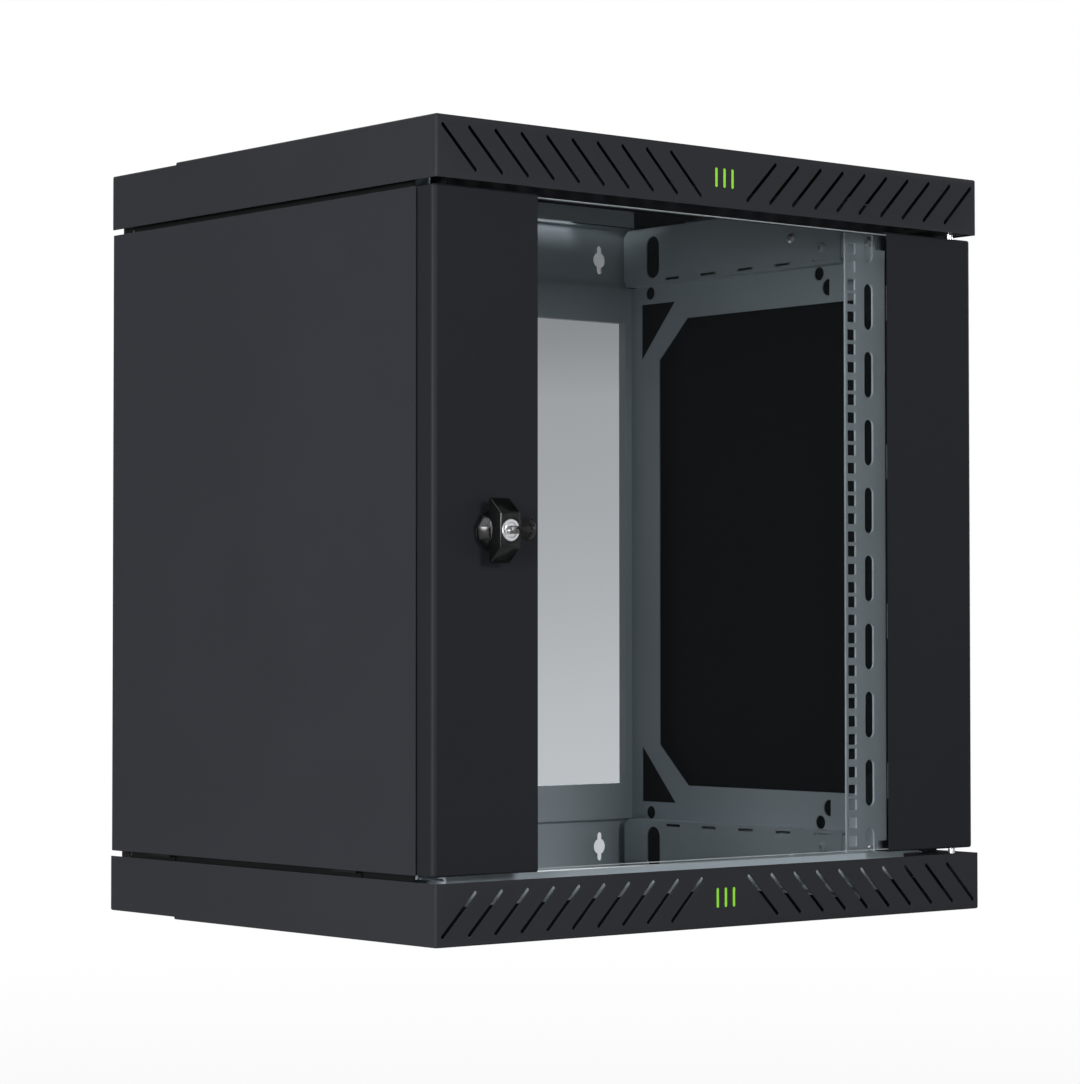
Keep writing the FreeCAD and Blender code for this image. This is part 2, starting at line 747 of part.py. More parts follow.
def panel_lugs():
    """Angles on the side frames that the side panels stand on."""
    pieces = []
    for y in lug_rows:
        shelf = box(frame_out, frame_out + lug_reach, y - lug_length / 2, y + lug_length / 2,
                    panel_z0 - lug_sheet, panel_z0)
        leg = box(frame_out, frame_out + lug_sheet, y - lug_length / 2, y + lug_length / 2,
                  panel_z0 - lug_leg, panel_z0)
        angle = shelf.fuse(leg).removeSplitter()
        pieces += [angle, flip_x(angle)]
    return group(pieces)


def panel_clips():
    """Leaf springs on the side frames that hold the side panels at the top."""
    pieces = []
    z1 = height - panel_z0 - panel_sheet - contact_gap
    x1 = half_w - panel_return - contact_gap
    t = clip_sheet
    for y in lug_rows:
        y0, y1 = y - clip_length / 2, y + clip_length / 2
        leg = box(frame_out, frame_out + t, y0, y1, z1 - clip_leg, z1)
        nose = prism([V(frame_out, y0, z1), V(x1, y0, z1 + panel_sheet),
                      V(x1, y0, z1 + panel_sheet - t), V(frame_out + t, y0, z1 - 2 * t),
                      V(frame_out, y0, z1 - 2 * t)], V(0, clip_length, 0))
        clip = leg.fuse(nose).removeSplitter()
        pieces += [clip, flip_x(clip)]
    return group(pieces)


# ---------------------------------------------------------------- door
def door_strip():
    """Right steel strip of the door: front face, side return, and flanges at both ends."""
    x0, x1 = strip_in, door_x
    z0, z1 = door_z0, height - door_z0
    t = door_sheet
    y1 = door_y + door_thick
    block = box(x0, x1, door_y, y1, z0, z1)
    block = round_edges(block, door_bend, lambda m, w: near(m.x, x1) and near(m.y, door_y)
                        and near(abs(w.z), 1))
    block = round_edges(block, door_bend / 2, lambda m, w: near(m.y, door_y)
                        and near(abs(w.x), 1))
    inner = box(x0, x1 - t, door_y + t, y1, z0 + t, z1 - t)
    inner = round_edges(inner, door_bend - t, lambda m, w: near(m.x, x1 - t)
                        and near(m.y, door_y + t) and near(abs(w.z), 1))
    trims = []
    for low, high in ((z0, z0 + t), (z1 - t, z1)):
        trims.append(box(x0, x1 - t - contact_gap, door_y + strip_flange, y1, low, high))
    return block.cut(inner).cut(trims)


def right_door_strip():
    """Right strip with the holes of the hinge pins."""
    hole = rod(pin_r + running_gap, V(hinge_x, hinge_y, door_z0 - past),
               V(hinge_x, hinge_y, door_z0 + door_sheet + past))
    return door_strip().cut([hole, flip_z(hole)])


def left_door_strip():
    """Left strip with the hole of the lock."""
    hole = rod(barrel_r, lock_axis(door_y - past), lock_axis(strip_back + past))
    return flip_x(door_strip()).cut(hole)


def door_glass():
    """Glass, full height, held behind the two strips."""
    z0 = door_z0 + glass_end
    pane = box(-glass_half, glass_half, glass_y, glass_back, z0, height - z0)
    return pane.makeChamfer(glass_edge, pane.Edges)


def glass_seal():
    """Rubber strip between the right strip and the glass."""
    z0 = door_z0 + glass_end
    x1 = glass_half - (glass_lap - seal_width) / 2
    return box(x1 - seal_width, x1, strip_back, glass_y, z0, height - z0)


def clip_rows():
    """Heights of the glass clips."""
    low = door_z0 + clip_end
    span = height - 2 * low
    return [low + span * i / (clip_count - 1) for i in range(clip_count)]


def glass_clips():
    """Z-shaped clips that press the glass to the strips, four on each side."""
    t = glass_clip_sheet
    x0 = glass_half + glass_clip_space
    back = glass_back + t
    way = V(0, 0, glass_clip_width)
    pieces = []
    for z in clip_rows():
        low = z - glass_clip_width / 2
        outline = [V(x0 + glass_clip_base, strip_back, low), V(x0, strip_back, low),
                   V(x0, glass_back, low), V(glass_half - glass_clip_lap, glass_back, low),
                   V(glass_half - glass_clip_lap, back, low), V(x0 + t, back, low),
                   V(x0 + t, strip_back + t, low), V(x0 + glass_clip_base, strip_back + t, low)]
        x, y = clip_screw_x(), strip_back
        hole = rod(clip_screw_r, V(x, y, z), V(x, y + t, z))
        clip = prism(outline, way).cut(hole)
        pieces += [clip, flip_x(clip)]
    return group(pieces)


def clip_screw_x():
    """Middle of the cabinet to the screws of the glass clips."""
    return glass_half + glass_clip_space + clip_screw_back


def clip_screws():
    """Studs of the strips with their round nuts, one for each glass clip."""
    x = clip_screw_x()
    y = strip_back + glass_clip_sheet
    pieces = []
    for z in clip_rows():
        stud = rod(clip_screw_r, V(x, strip_back, z), V(x, y + clip_screw_head, z))
        nut = rod(clip_screw_head_r, V(x, y, z), V(x, y + clip_screw_head, z))
        screw = stud.fuse(nut)
        pieces += [screw, flip_x(screw)]
    return group(pieces)


# ---------------------------------------------------------------- hinges
def hinge_lug():
    """Bottom lug on the front bar with the hole that the hinge pin enters."""
    x0, x1 = [half_w - end for end in hinge_lug_ends]
    t = hinge_lug_sheet
    y0 = front_y + hinge_lug_front
    shelf = box(x0, x1, y0, front_bar_y, lug_top - t, lug_top)
    leg = box(x0, x1, front_bar_y - t, front_bar_y, lug_top - hinge_lug_leg, lug_top)
    hole = rod(pin_r + running_gap, V(hinge_x, hinge_y, lug_top - 2 * t),
               V(hinge_x, hinge_y, lug_top + t))
    return shelf.fuse(leg).removeSplitter().cut(hole)


def hinge_bracket():
    """Bottom bracket in the door: a plate on the strip and a tab that guides the pin."""
    t = hinge_tab_sheet
    x0, x1 = hinge_x - hinge_tab_half, hinge_x + hinge_tab_half
    plate = box(x0, x1, strip_back, strip_back + t, tab_z, tab_z + hinge_plate)
    tab = box(x0, x1, strip_back, hinge_y + hinge_tab_half, tab_z, tab_z + t)
    hole = rod(pin_r + running_gap, V(hinge_x, hinge_y, tab_z - t),
               V(hinge_x, hinge_y, tab_z + 2 * t))
    return plate.fuse(tab).removeSplitter().cut(hole)


def hinge_pin():
    """Bottom hinge pin with its collar and finger lever."""
    axis = V(hinge_x, hinge_y, 0)
    top = pin_tip + pin_length
    shaft = rod(pin_r, axis + V(0, 0, pin_tip), axis + V(0, 0, top))
    shaft = shaft.makeChamfer(pin_edge, [e for e in shaft.Edges
                              if near(e.CenterOfMass.z, pin_tip)])
    lever_z = top - pin_r
    lever = rod(pin_lever_r, axis + V(0, 0, lever_z), axis + V(-pin_lever, 0, lever_z))
    collar = rod(pin_collar_r, axis + V(0, 0, collar_z), axis + V(0, 0, collar_z + pin_collar))
    return shaft.fuse([lever, collar]).removeSplitter()


def hinge_spring():
    """Bottom spring between the pin's collar and the bracket's tab."""
    low = collar_z + pin_collar + spring_wire + contact_gap
    high = tab_z - spring_wire - contact_gap
    pitch = (high - low) / spring_turns
    path = Part.makeHelix(pitch, high - low, spring_r)
    ring = Part.Wire(Part.makeCircle(spring_wire, V(spring_r, 0, 0), V(0, 1, 0)))
    coil = path.makePipeShell([ring], True, True)
    coil.translate(V(hinge_x, hinge_y, low))
    return coil


# ---------------------------------------------------------------- lock
def lock_axis(y):
    """Point on the lock's axis."""
    return V(lock_x, y, mid_z)


def lock_barrel():
    """Threaded housing of the lock, with its flange on the strip."""
    back = door_y + barrel_back
    body = rod(barrel_r, lock_axis(door_y), lock_axis(back))
    flange = rod(barrel_flange_r, lock_axis(door_y - barrel_flange), lock_axis(door_y))
    bore = rod(cylinder_r + running_gap, lock_axis(door_y - 2 * barrel_flange),
               lock_axis(back + past))
    return body.fuse(flange).removeSplitter().cut(bore)


def lock_nut():
    """Hexagonal nut that clamps the barrel from behind the strip."""
    nut = hexagon(nut_across, lock_axis(strip_back), V(0, nut_height, 0))
    hole = rod(barrel_r, lock_axis(strip_back - past), lock_axis(strip_back + 2 * nut_height))
    return nut.cut(hole)


def lock_cylinder():
    """Turning cylinder of the lock: shell, shoulder and threaded tail."""
    face = door_y - cylinder_face
    tail = cam_y - contact_gap
    shell = rod(cylinder_r, lock_axis(face), lock_axis(tail))
    shell = shell.makeChamfer(cylinder_edge, [e for e in shell.Edges
                              if near(e.CenterOfMass.y, face)])
    end = cam_y + cam_sheet + cam_nut_height + cylinder_tail_end
    shell = shell.fuse(rod(cylinder_tail_r, lock_axis(tail), lock_axis(end)))
    bore = rod(plug_r + running_gap, lock_axis(face - past), lock_axis(face + plug_bore))
    return shell.cut(bore)


def knob():
    """Winged knob around the cylinder: a low round hub, and a wedge-shaped grip across it."""
    base = door_y - barrel_flange - contact_gap
    rim = base - knob_rim
    top = base - knob_height
    back = base - wing_back
    hub = rod(knob_r, lock_axis(base), lock_axis(rim))
    hub = hub.fuse(cone(knob_r, knob_top_r, lock_axis(rim), lock_axis(base - knob_cone)))
    half = V(wing_width / 2, 0, 0)
    outline = [(back, -wing_half), (back, wing_half), (back - wing_rim, wing_half),
               (top, wing_front_half), (top, -wing_front_half), (back - wing_rim, -wing_half)]
    grip = prism([lock_axis(y) - half + V(0, 0, z) for y, z in outline], half * 2)
    grip = grip.makeChamfer(wing_edge, [e for e in grip.Edges
                            if near(abs(e.CenterOfMass.x - lock_x), wing_width / 2)
                            and e.CenterOfMass.y < back - wing_rim])
    bore = rod(cylinder_r, lock_axis(base + past), lock_axis(top - past))
    return hub.fuse(grip).removeSplitter().cut(bore)


def lock_plug():
    """Key plug with its keyway."""
    face = door_y - cylinder_face + plug_set
    plug = rod(plug_r, lock_axis(face), lock_axis(face + plug_length))
    half_thick = key_sheet / 2 + running_gap
    half_high = key_width / 2 + running_gap
    way = box(lock_x - half_thick, lock_x + half_thick, face - past, face + key_blade + past,
              mid_z - half_high, mid_z + half_high)
    return plug.cut(way)


def key():
    """Flat key: blade in the plug, shank and round bow with a hole."""
    face = door_y - cylinder_face
    x0 = lock_x - key_sheet / 2
    x1 = lock_x + key_sheet / 2
    top = mid_z + key_width / 2
    blade = box(x0, x1, face - key_shank, face + key_blade, mid_z - key_width / 2, top)
    centre = V(x0, face - key_shank - key_bow_set, mid_z)
    way = V(key_sheet, 0, 0)
    bow = rod(key_bow_r, centre, centre + way)
    hole_at = centre - V(0, key_hole_set, 0)
    cuts = [rod(key_bow_hole_r, hole_at, hole_at + way)]
    for i in range(key_cut_count):
        y = face + key_cut_first + i * key_cut_pitch
        deep = key_cut_depths[i % len(key_cut_depths)]
        cuts.append(box(x0, x1, y, y + key_cut_width, top - deep, top))
    return blade.fuse(bow).removeSplitter().cut(cuts)


def lock_cam():
    """Cam on the cylinder's tail; it hangs down when the door is free."""
    half = cam_width / 2
    arm = box(lock_x - half, lock_x + half, cam_y, cam_y + cam_sheet, mid_z - cam_length, mid_z)
    arm = round_edges(arm, cam_corner, lambda m, w: near(abs(w.y), 1)
                      and near(m.z, mid_z - cam_length))
    disc = rod(cam_boss_r, lock_axis(cam_y), lock_axis(cam_y + cam_sheet))
    hole = rod(cylinder_tail_r, lock_axis(cam_y - past), lock_axis(cam_y + cam_sheet + past))
    return arm.fuse(disc).removeSplitter().cut(hole)


def cam_nut():
    """Nut that holds the cam."""
    y = cam_y + cam_sheet
    nut = hexagon(cam_nut_across, lock_axis(y), V(0, cam_nut_height, 0))
    return nut.cut(rod(cylinder_tail_r, lock_axis(y - past), lock_axis(y + 2 * cam_nut_height)))


def strike():
    """Plate on the left side frame that the cam turns behind."""
    t = strike_sheet
    y0 = front_y + strike_set
    low = mid_z - strike_half
    high = mid_z + strike_half
    plate = box(-frame_in, -strike_in, y0, y0 + t, low, high)
    leg = box(-frame_in, t - frame_in, y0, ring_front + strike_leg, low, high)
    return plate.fuse(leg).removeSplitter()


def buffers():
    """Rubber buffers on the strike that the closed door rests against."""
    x = -(strike_in + frame_in) / 2
    y0, y1 = strip_back + contact_gap, front_y + strike_set
    return group([rod(buffer_r, V(x, y1, z), V(x, y0, z))
                  for z in (mid_z - buffer_rise, mid_z + buffer_rise)])


# ---------------------------------------------------------------- earthing
def earth_stud():
    """Welded stud on the bottom cap's floor."""
    foot = V(earth_x, 0, cap_sheet)
    return rod(earth_r, foot, foot + V(0, 0, earth_length))


def earth_nut():
    """Flanged nut on the earth stud."""
    foot = V(earth_x, 0, cap_sheet)
    washer = rod(earth_washer_r, foot, foot + V(0, 0, earth_washer))
    nut = hexagon(earth_nut_across, foot + V(0, 0, earth_washer), V(0, 0, earth_nut_height))
    hole = rod(earth_r, foot, foot + V(0, 0, earth_length))
    return washer.fuse(nut).cut(hole)


# ---------------------------------------------------------------- all the nodes
def nodes():
    """Every node of the cabinet with its shape."""
    found = {}
    bottom = cap()
    found["bottom_cap"] = bottom
    found["top_cap"] = flip_z(bottom)
    bars = accents()
    found["accent_bars"] = group(bars + [flip_z(bar) for bar in bars])
    found["cap_brackets"] = cap_brackets()
    found["cap_screws"] = cap_screws()
    for name, piece in (("side_frame", side_frame()), ("rail", rail()),
                        ("side_panel", side_panel()), ("panel_rib", panel_rib()),
                        ("rear_post", rear_post_piece()), ("glass_seal", glass_seal())):
        found["right_" + name] = piece
        found["left_" + name] = flip_x(piece)
    beam, splice = depth_beam(), splice_plate()
    for name, piece in (("depth_beam", beam), ("splice_plate", splice)):
        found["bottom_right_" + name] = piece
        found["bottom_left_" + name] = flip_x(piece)
        found["top_right_" + name] = flip_z(piece)
        found["top_left_" + name] = flip_z(flip_x(piece))
    for name, piece in (("rear_cross_bar", rear_cross_bar()), ("front_bar", front_bar()),
                        ("hinge_lug", hinge_lug()), ("hinge_bracket", hinge_bracket()),
                        ("hinge_pin", hinge_pin()), ("hinge_spring", hinge_spring())):
        found["bottom_" + name] = piece
        found["top_" + name] = flip_z(piece)
    found["corner_brackets"] = corner_brackets()
    found["frame_rivets"] = rivets()
    found["splice_bolts"] = splice_bolt_set()
    found["panel_lugs"] = panel_lugs()
    found["panel_clips"] = panel_clips()
    found["right_door_strip"] = right_door_strip()
    found["left_door_strip"] = left_door_strip()
    found["door_glass"] = door_glass()
    found["glass_clips"] = glass_clips()
    found["clip_screws"] = clip_screws()
    found["lock_barrel"] = lock_barrel()
    found["lock_nut"] = lock_nut()
    found["lock_cylinder"] = lock_cylinder()
    found["wing_knob"] = knob()
    found["lock_plug"] = lock_plug()
    found["key"] = key()
    found["lock_cam"] = lock_cam()
    found["cam_nut"] = cam_nut()
    found["lock_strike"] = strike()
    found["door_buffers"] = buffers()
    found["earth_stud"] = earth_stud()
    found["earth_nut"] = earth_nut()
    return found


os.makedirs("parts", exist_ok=True)
for node, shape in nodes().items():
    solids = shape.Solids
    if not shape.isValid() or not solids or min(s.Volume for s in solids) <= 0:
        raise ValueError(node + " is not a sound solid")
    shape.exportStep("parts/" + node + ".step")
    print(node, len(solids), round(shape.Volume, 1))
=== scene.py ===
"""Looks of a twelve-unit wall mount network cabinet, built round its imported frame.

Metres; origin in the middle of the footprint on the underside, +X right, +Y to the wall, +Z up.
"""

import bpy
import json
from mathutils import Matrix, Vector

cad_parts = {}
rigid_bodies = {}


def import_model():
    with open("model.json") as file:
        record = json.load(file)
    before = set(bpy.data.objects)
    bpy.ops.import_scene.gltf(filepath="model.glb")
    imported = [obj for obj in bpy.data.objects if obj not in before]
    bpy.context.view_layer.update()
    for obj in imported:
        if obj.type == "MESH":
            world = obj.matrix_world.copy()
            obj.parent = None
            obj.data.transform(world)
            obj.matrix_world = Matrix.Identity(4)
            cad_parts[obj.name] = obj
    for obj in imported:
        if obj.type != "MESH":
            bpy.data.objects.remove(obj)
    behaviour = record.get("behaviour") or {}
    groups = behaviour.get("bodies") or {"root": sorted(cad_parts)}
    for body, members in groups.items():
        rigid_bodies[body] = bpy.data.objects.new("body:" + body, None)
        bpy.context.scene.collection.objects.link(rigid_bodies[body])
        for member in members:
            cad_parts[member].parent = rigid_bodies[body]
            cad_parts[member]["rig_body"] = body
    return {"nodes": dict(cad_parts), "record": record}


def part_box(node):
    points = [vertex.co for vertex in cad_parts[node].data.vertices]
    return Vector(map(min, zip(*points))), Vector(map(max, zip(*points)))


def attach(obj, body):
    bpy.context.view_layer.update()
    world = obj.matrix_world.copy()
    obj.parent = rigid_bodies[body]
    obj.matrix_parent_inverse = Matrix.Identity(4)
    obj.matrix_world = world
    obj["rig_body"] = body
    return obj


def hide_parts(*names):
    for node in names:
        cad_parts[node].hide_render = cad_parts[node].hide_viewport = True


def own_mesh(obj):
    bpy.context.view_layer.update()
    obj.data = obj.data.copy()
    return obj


bl_info = {
    "name": "Wall Mount Network Cabinet",
    "version": (1, 0, 0),
    "blender": (4, 5, 0),
    "location": "3D View > Sidebar > Cabinet",
    "description": "Finishes and detailed pieces of a wall mount network cabinet",
    "category": "Object",
}

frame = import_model()

import json
import math

import bmesh
import bpy
from bpy.props import FloatProperty, FloatVectorProperty, IntProperty, PointerProperty
from mathutils import Euler, Matrix, Vector

MM = 0.001
OWN = "cabinet_"
NODES = frame["nodes"]
SLOTS = {part["node"]: part["material_slot"] for part in frame["record"]["subparts"]}
CAP_LOW, CAP_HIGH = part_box("bottom_cap")
WHOLE_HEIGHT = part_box("top_cap")[1].z
MID_Z = WHOLE_HEIGHT / 2
HALF_WIDTH = CAP_HIGH.x
LOCK_X = sum(v.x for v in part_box("lock_barrel")) / 2


def mm(*values):
    """Millimetres as metres."""
    return tuple(value * MM for value in values)


# ---------------------------------------------------------------- fixed measures
# Painted shade: the frame is painted black outside its side sheet, and on the sheet behind the
# slots of the depth beams and the rails, where only shade falls.
SHADED_OUTSIDE, SHADED_BEHIND = mm(289.7, 288.2)
BEAM_HEIGHT, BEAM_REAR, RAIL_REAR = mm(61.5, 140.0, -92.0)
PANEL_SKIN = 0.6 * MM
# black of the painted shade on the frame and on the inner faces of the side panels
PAINTED_SHADE_BLACK = (0.004, 0.0042, 0.0046)

# fasteners, in millimetres: radius and height of the head, radius of the shank, then the
# length or grip; a bolt has its grip, its length and its nut's width and height
CAP_SCREW = (4.5, 3.0, 2.4, 20.0)
RAIL_BOLT = (5.0, 4.0, 3.0, 4.0, 8.0, 10.0, 4.0)
BEAM_BOLT = (5.0, 4.0, 3.0, 3.5, 7.5, 10.0, 4.0)
FRAME_RIVET = (3.6, 1.0, 2.0, 3.0)
CLIP_NUT = (3.6, 2.2, 2.0, 1.5)
# their places at the lower right; the other three corners mirror them
CAP_SCREW_PLACES = ((275.0, -20.0, 34.5),)
RAIL_BOLT_PLACES = ((274.5, -120.5, 46.5), (274.5, -107.5, 46.5))
BEAM_BOLT_PLACES = ((275.0, -59.75, 23.5), (275.0, -59.75, 46.5))
RIVET_PLACES = ((290.0, 210.0, 18.0), (290.0, 210.0, 34.0), (290.0, 210.0, 50.0))
INWARDS, OUTWARDS = (-1.0, 0.0, 0.0), (1.0, 0.0, 0.0)

# rack rail: notches at its ends, relief of its side flange, holes and slots in its face
NOTCH_WIDE, NOTCH_DEEP, NOTCH_TALL = mm(14.0, 9.0, 21.3)
FLANGE_LIP, FLANGE_TAB = mm(12.0, 43.0)
RACK_HOLE_X, RACK_CORNER = mm(7.55, 0.4)
RACK_STEPS = mm(6.35, 22.225, 38.1)
SLOT_X, SLOT_WIDE, SLOT_CORNER, SLOT_PITCH = mm(29.0, 10.5, 5.24, 60.0)
SLOT_COUNT = 10

SPRING_WIRE, SPRING_RADIUS, SPRING_TRAVEL = mm(0.45, 4.0, 6.0)
SPRING_TURNS = 6.0

# knob: heights are from the door's face, along the lock's axis
HUB_PROFILE = ((15.6, 0.0), (16.5, 0.8), (16.5, 3.0), (12.5, 11.0))
HUB_SIDES, HUB_TURN = 10, math.radians(26.0)
WING_BACK, WING_STEP, WING_HALF, WING_FRONT, WING_THICK = mm(8.0, 2.0, 25.0, 13.5, 9.8)
WING_ROUND, KNOB_ROUND, KNOB_BORE = mm(2.2, 0.35, 8.78)

# lock: radii of the cylinder, its bore, its tail and the plug; then the keyway
CYLINDER, CYLINDER_BORE, TAIL, PLUG = mm(8.75, 6.05, 5.0, 6.0)
BORE_DEEP = 30.5 * MM
KEYWAY_WIDE, KEYWAY_TALL, KEYWAY_DEEP = mm(1.05, 3.25, 19.6)

# key: half width and slope of the blade, its bitting, the hole in its bow and its groove
BLADE, BLADE_TIP, BLADE_SLOPE = mm(3.2, 0.8, 1.6)
CUT_FIRST, CUT_PITCH, CUT_RAMP, CUT_WIDE = mm(2.6, 4.0, 0.7, 1.5)
CUT_DEPTHS = mm(1.1, 0.8, 1.1, 0.8)
BOW_HOLE, BOW_HOLE_BACK = mm(2.6, 4.5)
BOW_SIDES = 40
GROOVE_LONG, GROOVE_HALF, KEY_ROUND = mm(21.0, 0.5, 0.22)


# ---------------------------------------------------------------- sizes and colours
def length(name, description, default):
    """Size property, kept in metres and given here in millimetres."""
    return FloatProperty(name=name, description=description, default=default * MM, min=0.0,
                         subtype="DISTANCE", unit="LENGTH", precision=5)


def colour(name, description, default):
    """Colour property."""
    return FloatVectorProperty(name=name, description=description, default=default, min=0.0,
                               max=1.0, size=3, subtype="COLOR")


def share(name, description, default):
    """Property between nothing and one."""
    return FloatProperty(name=name, description=description, default=default, min=0.0, max=1.0,
                         subtype="FACTOR")


class CabinetFinishes(bpy.types.PropertyGroup):
    """Colours and gloss of the cabinet's finishes."""

    cap_paint: colour("Cap paint", "Powder coat of the two caps", (0.0182, 0.0190, 0.0216))
    panel_paint: colour("Panel paint", "Powder coat of the side panels", (0.0190, 0.0196, 0.0232))
    door_paint: colour("Door paint", "Powder coat of the door's strips", (0.0108, 0.0116, 0.0138))
    frame_paint: colour("Frame paint", "Powder coat of the frame", (0.385, 0.450, 0.490))
    rail_paint: colour("Rail paint", "Coat of the rack rails", (0.640, 0.750, 0.825))
    lug_paint: colour("Lug paint", "Coat of the hinge lugs", (0.006, 0.006, 0.007))
    accent: colour("Accent", "Enamel of the bars in the caps", (0.20, 0.52, 0.025))
    rubber: colour("Rubber", "Door buffers", (0.010, 0.010, 0.010))
    # painted highlight: the seal tape is pale grey to give a bright line along the strips' edges
    seal: colour("Seal", "Foam tape between the strips and the glass", (0.32, 0.34, 0.35))
    key_head: colour("Key head", "Moulded head of the key", (0.006, 0.006, 0.006))
    knob_plastic: colour("Knob", "Moulded knob", (0.0022, 0.0024, 0.0024))
    barrel_plastic: colour("Barrel", "Moulded lock barrel", (0.010, 0.010, 0.011))
    chrome: colour("Chrome", "Lock cylinder and plug", (0.78, 0.78, 0.79))
    nickel: colour("Nickel", "Nickel plate of the key", (0.55, 0.55, 0.56))
    zinc: colour("Zinc", "Bright zinc plate of the screws", (0.80, 0.81, 0.83))
    spring_wire: colour("Spring wire", "Hinge springs", (0.38, 0.38, 0.40))
    glass_tint: colour("Glass tint", "Colour of the glass body", (0.010, 0.012, 0.013))
    glass_edge: colour("Glass edge", "Ground edge of the glass", (0.42, 0.46, 0.47))
    glass_cover: share("Glass cover", "How much the glass hides", 0.15)
    paint_roughness: share("Paint roughness", "Roughness of the black powder coat", 0.46)
    frame_roughness: share("Frame roughness", "Roughness of the frame's powder coat", 0.40)


class CabinetSizes(bpy.types.PropertyGroup):
    """Sizes of the pieces that are made here."""

    cap_sheet: length("Cap sheet", "Thickness of the caps' sheet", 1.2)
    cap_bend: length("Cap bend", "Outside radius of the caps' folds", 1.8)
    cap_step_y: length("Cap step", "Wall side of the caps' step", 127.0)
    entry_half: length("Cable entry", "Half the width of the cable entries", 213.0)
    entry_lip: length("Entry lip", "Height of the lip at the cable entries", 16.0)
    cap_step: length("Step height", "How far the rear of a cap is set in", 2.0)
    vent_count: IntProperty(name="Vents", description="Vents in each half of a cap", default=10)
    vent_pitch: length("Vent pitch", "From one vent to the next", 26.1)
    vent_length: length("Vent length", "Length of a vent", 48.4)
    vent_width: length("Vent width", "Width of a vent", 3.2)
    vent_edge: length("First vent", "Cap's side to the first vent", 22.9)
    vent_lean: FloatProperty(name="Vent lean", description="Slant of the vents",
                             default=math.radians(45.0), subtype="ANGLE", unit="ROTATION")
    accent_pitch: length("Accent pitch", "From one accent bar to the next", 9.0)
    punch_edge: length("Punched edge", "Rounded edge of a punched hole", 0.25)
    rail_sheet: length("Rail sheet", "Thickness of the rails", 2.0)
    rail_bend: length("Rail bend", "Outside radius of the rails' fold", 3.0)
    rack_hole: length("Rack hole", "Side of a square rack hole", 9.5)
    rack_unit: length("Rack unit", "Height of one rack unit", 44.45)
    rack_units: IntProperty(name="Rack units", description="Units of the rails", default=12)
    cable_slot: length("Cable slot", "Length of a slot in the rails", 40.7)
    glass_ground: length("Ground edge", "Ground chamfer round the glass", 0.5)


class CabinetStage(bpy.types.PropertyGroup):
    """Camera and light of the stage."""

    camera_place: FloatVectorProperty(name="Camera", description="Place of the camera",
                                      default=(-1.9003, -2.2589, 0.2340), size=3,
                                      subtype="TRANSLATION", unit="LENGTH")
    camera_turn: FloatVectorProperty(name="Camera turn", description="Yaw, pitch and roll",
                                     default=(math.radians(39.945), math.radians(1.632),
                                              math.radians(-0.022)), size=3, subtype="EULER")
    lens: FloatProperty(name="Lens", description="Focal length in millimetres", default=113.28)
    ambient: share("Ambient", "Strength of the soft light from everywhere", 0.03)
    floor_drop: length("Floor", "How far the floor lies below the hung cabinet", 300.0)


# ---------------------------------------------------------------- node maths
class Value:
    """A node's output in Python expressions: each operator adds its Math node."""

    def __init__(self, net, socket):
        self.net = net
        self.socket = socket

    def __getitem__(self, name):
        return Value(self.net, self.socket.node.outputs[name])

    def __add__(self, other):
        return self.net.maths("ADD", self, other)

    def __radd__(self, other):
        return self.net.maths("ADD", other, self)

    def __sub__(self, other):
        return self.net.maths("SUBTRACT", self, other)

    def __mul__(self, other):
        return self.net.maths("MULTIPLY", self, other)


class Net:
    """Adds nodes to a tree."""

    def __init__(self, tree):
        self.tree = tree

    def node(self, kind, settings=None, sockets=None):
        """One node: its settings are made first, then the values or links of its sockets."""
        made = self.tree.nodes.new(kind)
        for name, value in (settings or {}).items():
            if name == "stops":
                self.ramp(made.color_ramp, value)
            else:
                setattr(made, name, value)
        for name, value in (sockets or {}).items():
            socket = made.inputs[name]
            if isinstance(value, Value):
                self.tree.links.new(value.socket, socket)
            else:
                socket.default_value = value
        return Value(self, next((o for o in made.outputs if o.enabled), None))

    @staticmethod
    def ramp(ramp, stops):
        """Set a colour ramp's stops, given as position and grey level or colour."""
        while len(ramp.elements) < len(stops):
            ramp.elements.new(1.0)
        for element, (position, level) in zip(ramp.elements, stops):
            element.position = position
            element.color = (level, level, level, 1.0) if isinstance(level, float) else level

    def maths(self, operation, *values):
        return self.node("ShaderNodeMath", {"operation": operation}, dict(enumerate(values)))

    def mix(self, low, high, factor):
        """Blend two colours."""
        sockets = {0: factor}
        for index, tone in ((6, low), (7, high)):
            sockets[index] = tone if isinstance(tone, Value) else (*tone, 1.0)
        return self.node("ShaderNodeMix", {"data_type": "RGBA"}, sockets)

    def place(self, scale=(1.0, 1.0, 1.0)):
        """Object coordinates, stretched."""
        where = self.node("ShaderNodeTexCoord")["Object"]
        return self.node("ShaderNodeMapping", None, {"Vector": where, "Scale": scale})

    def noise(self, where, scale, detail=2.0, roughness=0.5):
        return self.node("ShaderNodeTexNoise", None, {
            "Vector": where, "Scale": scale, "Detail": detail, "Roughness": roughness})

    def bump(self, height, strength, distance):
        return self.node("ShaderNodeBump", None, {
            "Height": height, "Strength": strength, "Distance": distance})


def shader(name, **sockets):
    """New material with its Principled node; returns the material, its net and the node."""
    material = bpy.data.materials.new(OWN + name)
    material.use_nodes = True
    tree = material.node_tree
    principled = tree.nodes["Principled BSDF"]
    for socket, value in sockets.items():
        principled.inputs[socket.replace("_", " ")].default_value = value
    return material, Net(tree), principled


def feed(net, principled, **values):
    """Link values to the Principled node's sockets."""
    for socket, value in values.items():
        net.tree.links.new(value.socket, principled.inputs[socket.replace("_", " ")])


def toned(tone, factor):
    return tuple(min(1.0, part * factor) for part in tone)


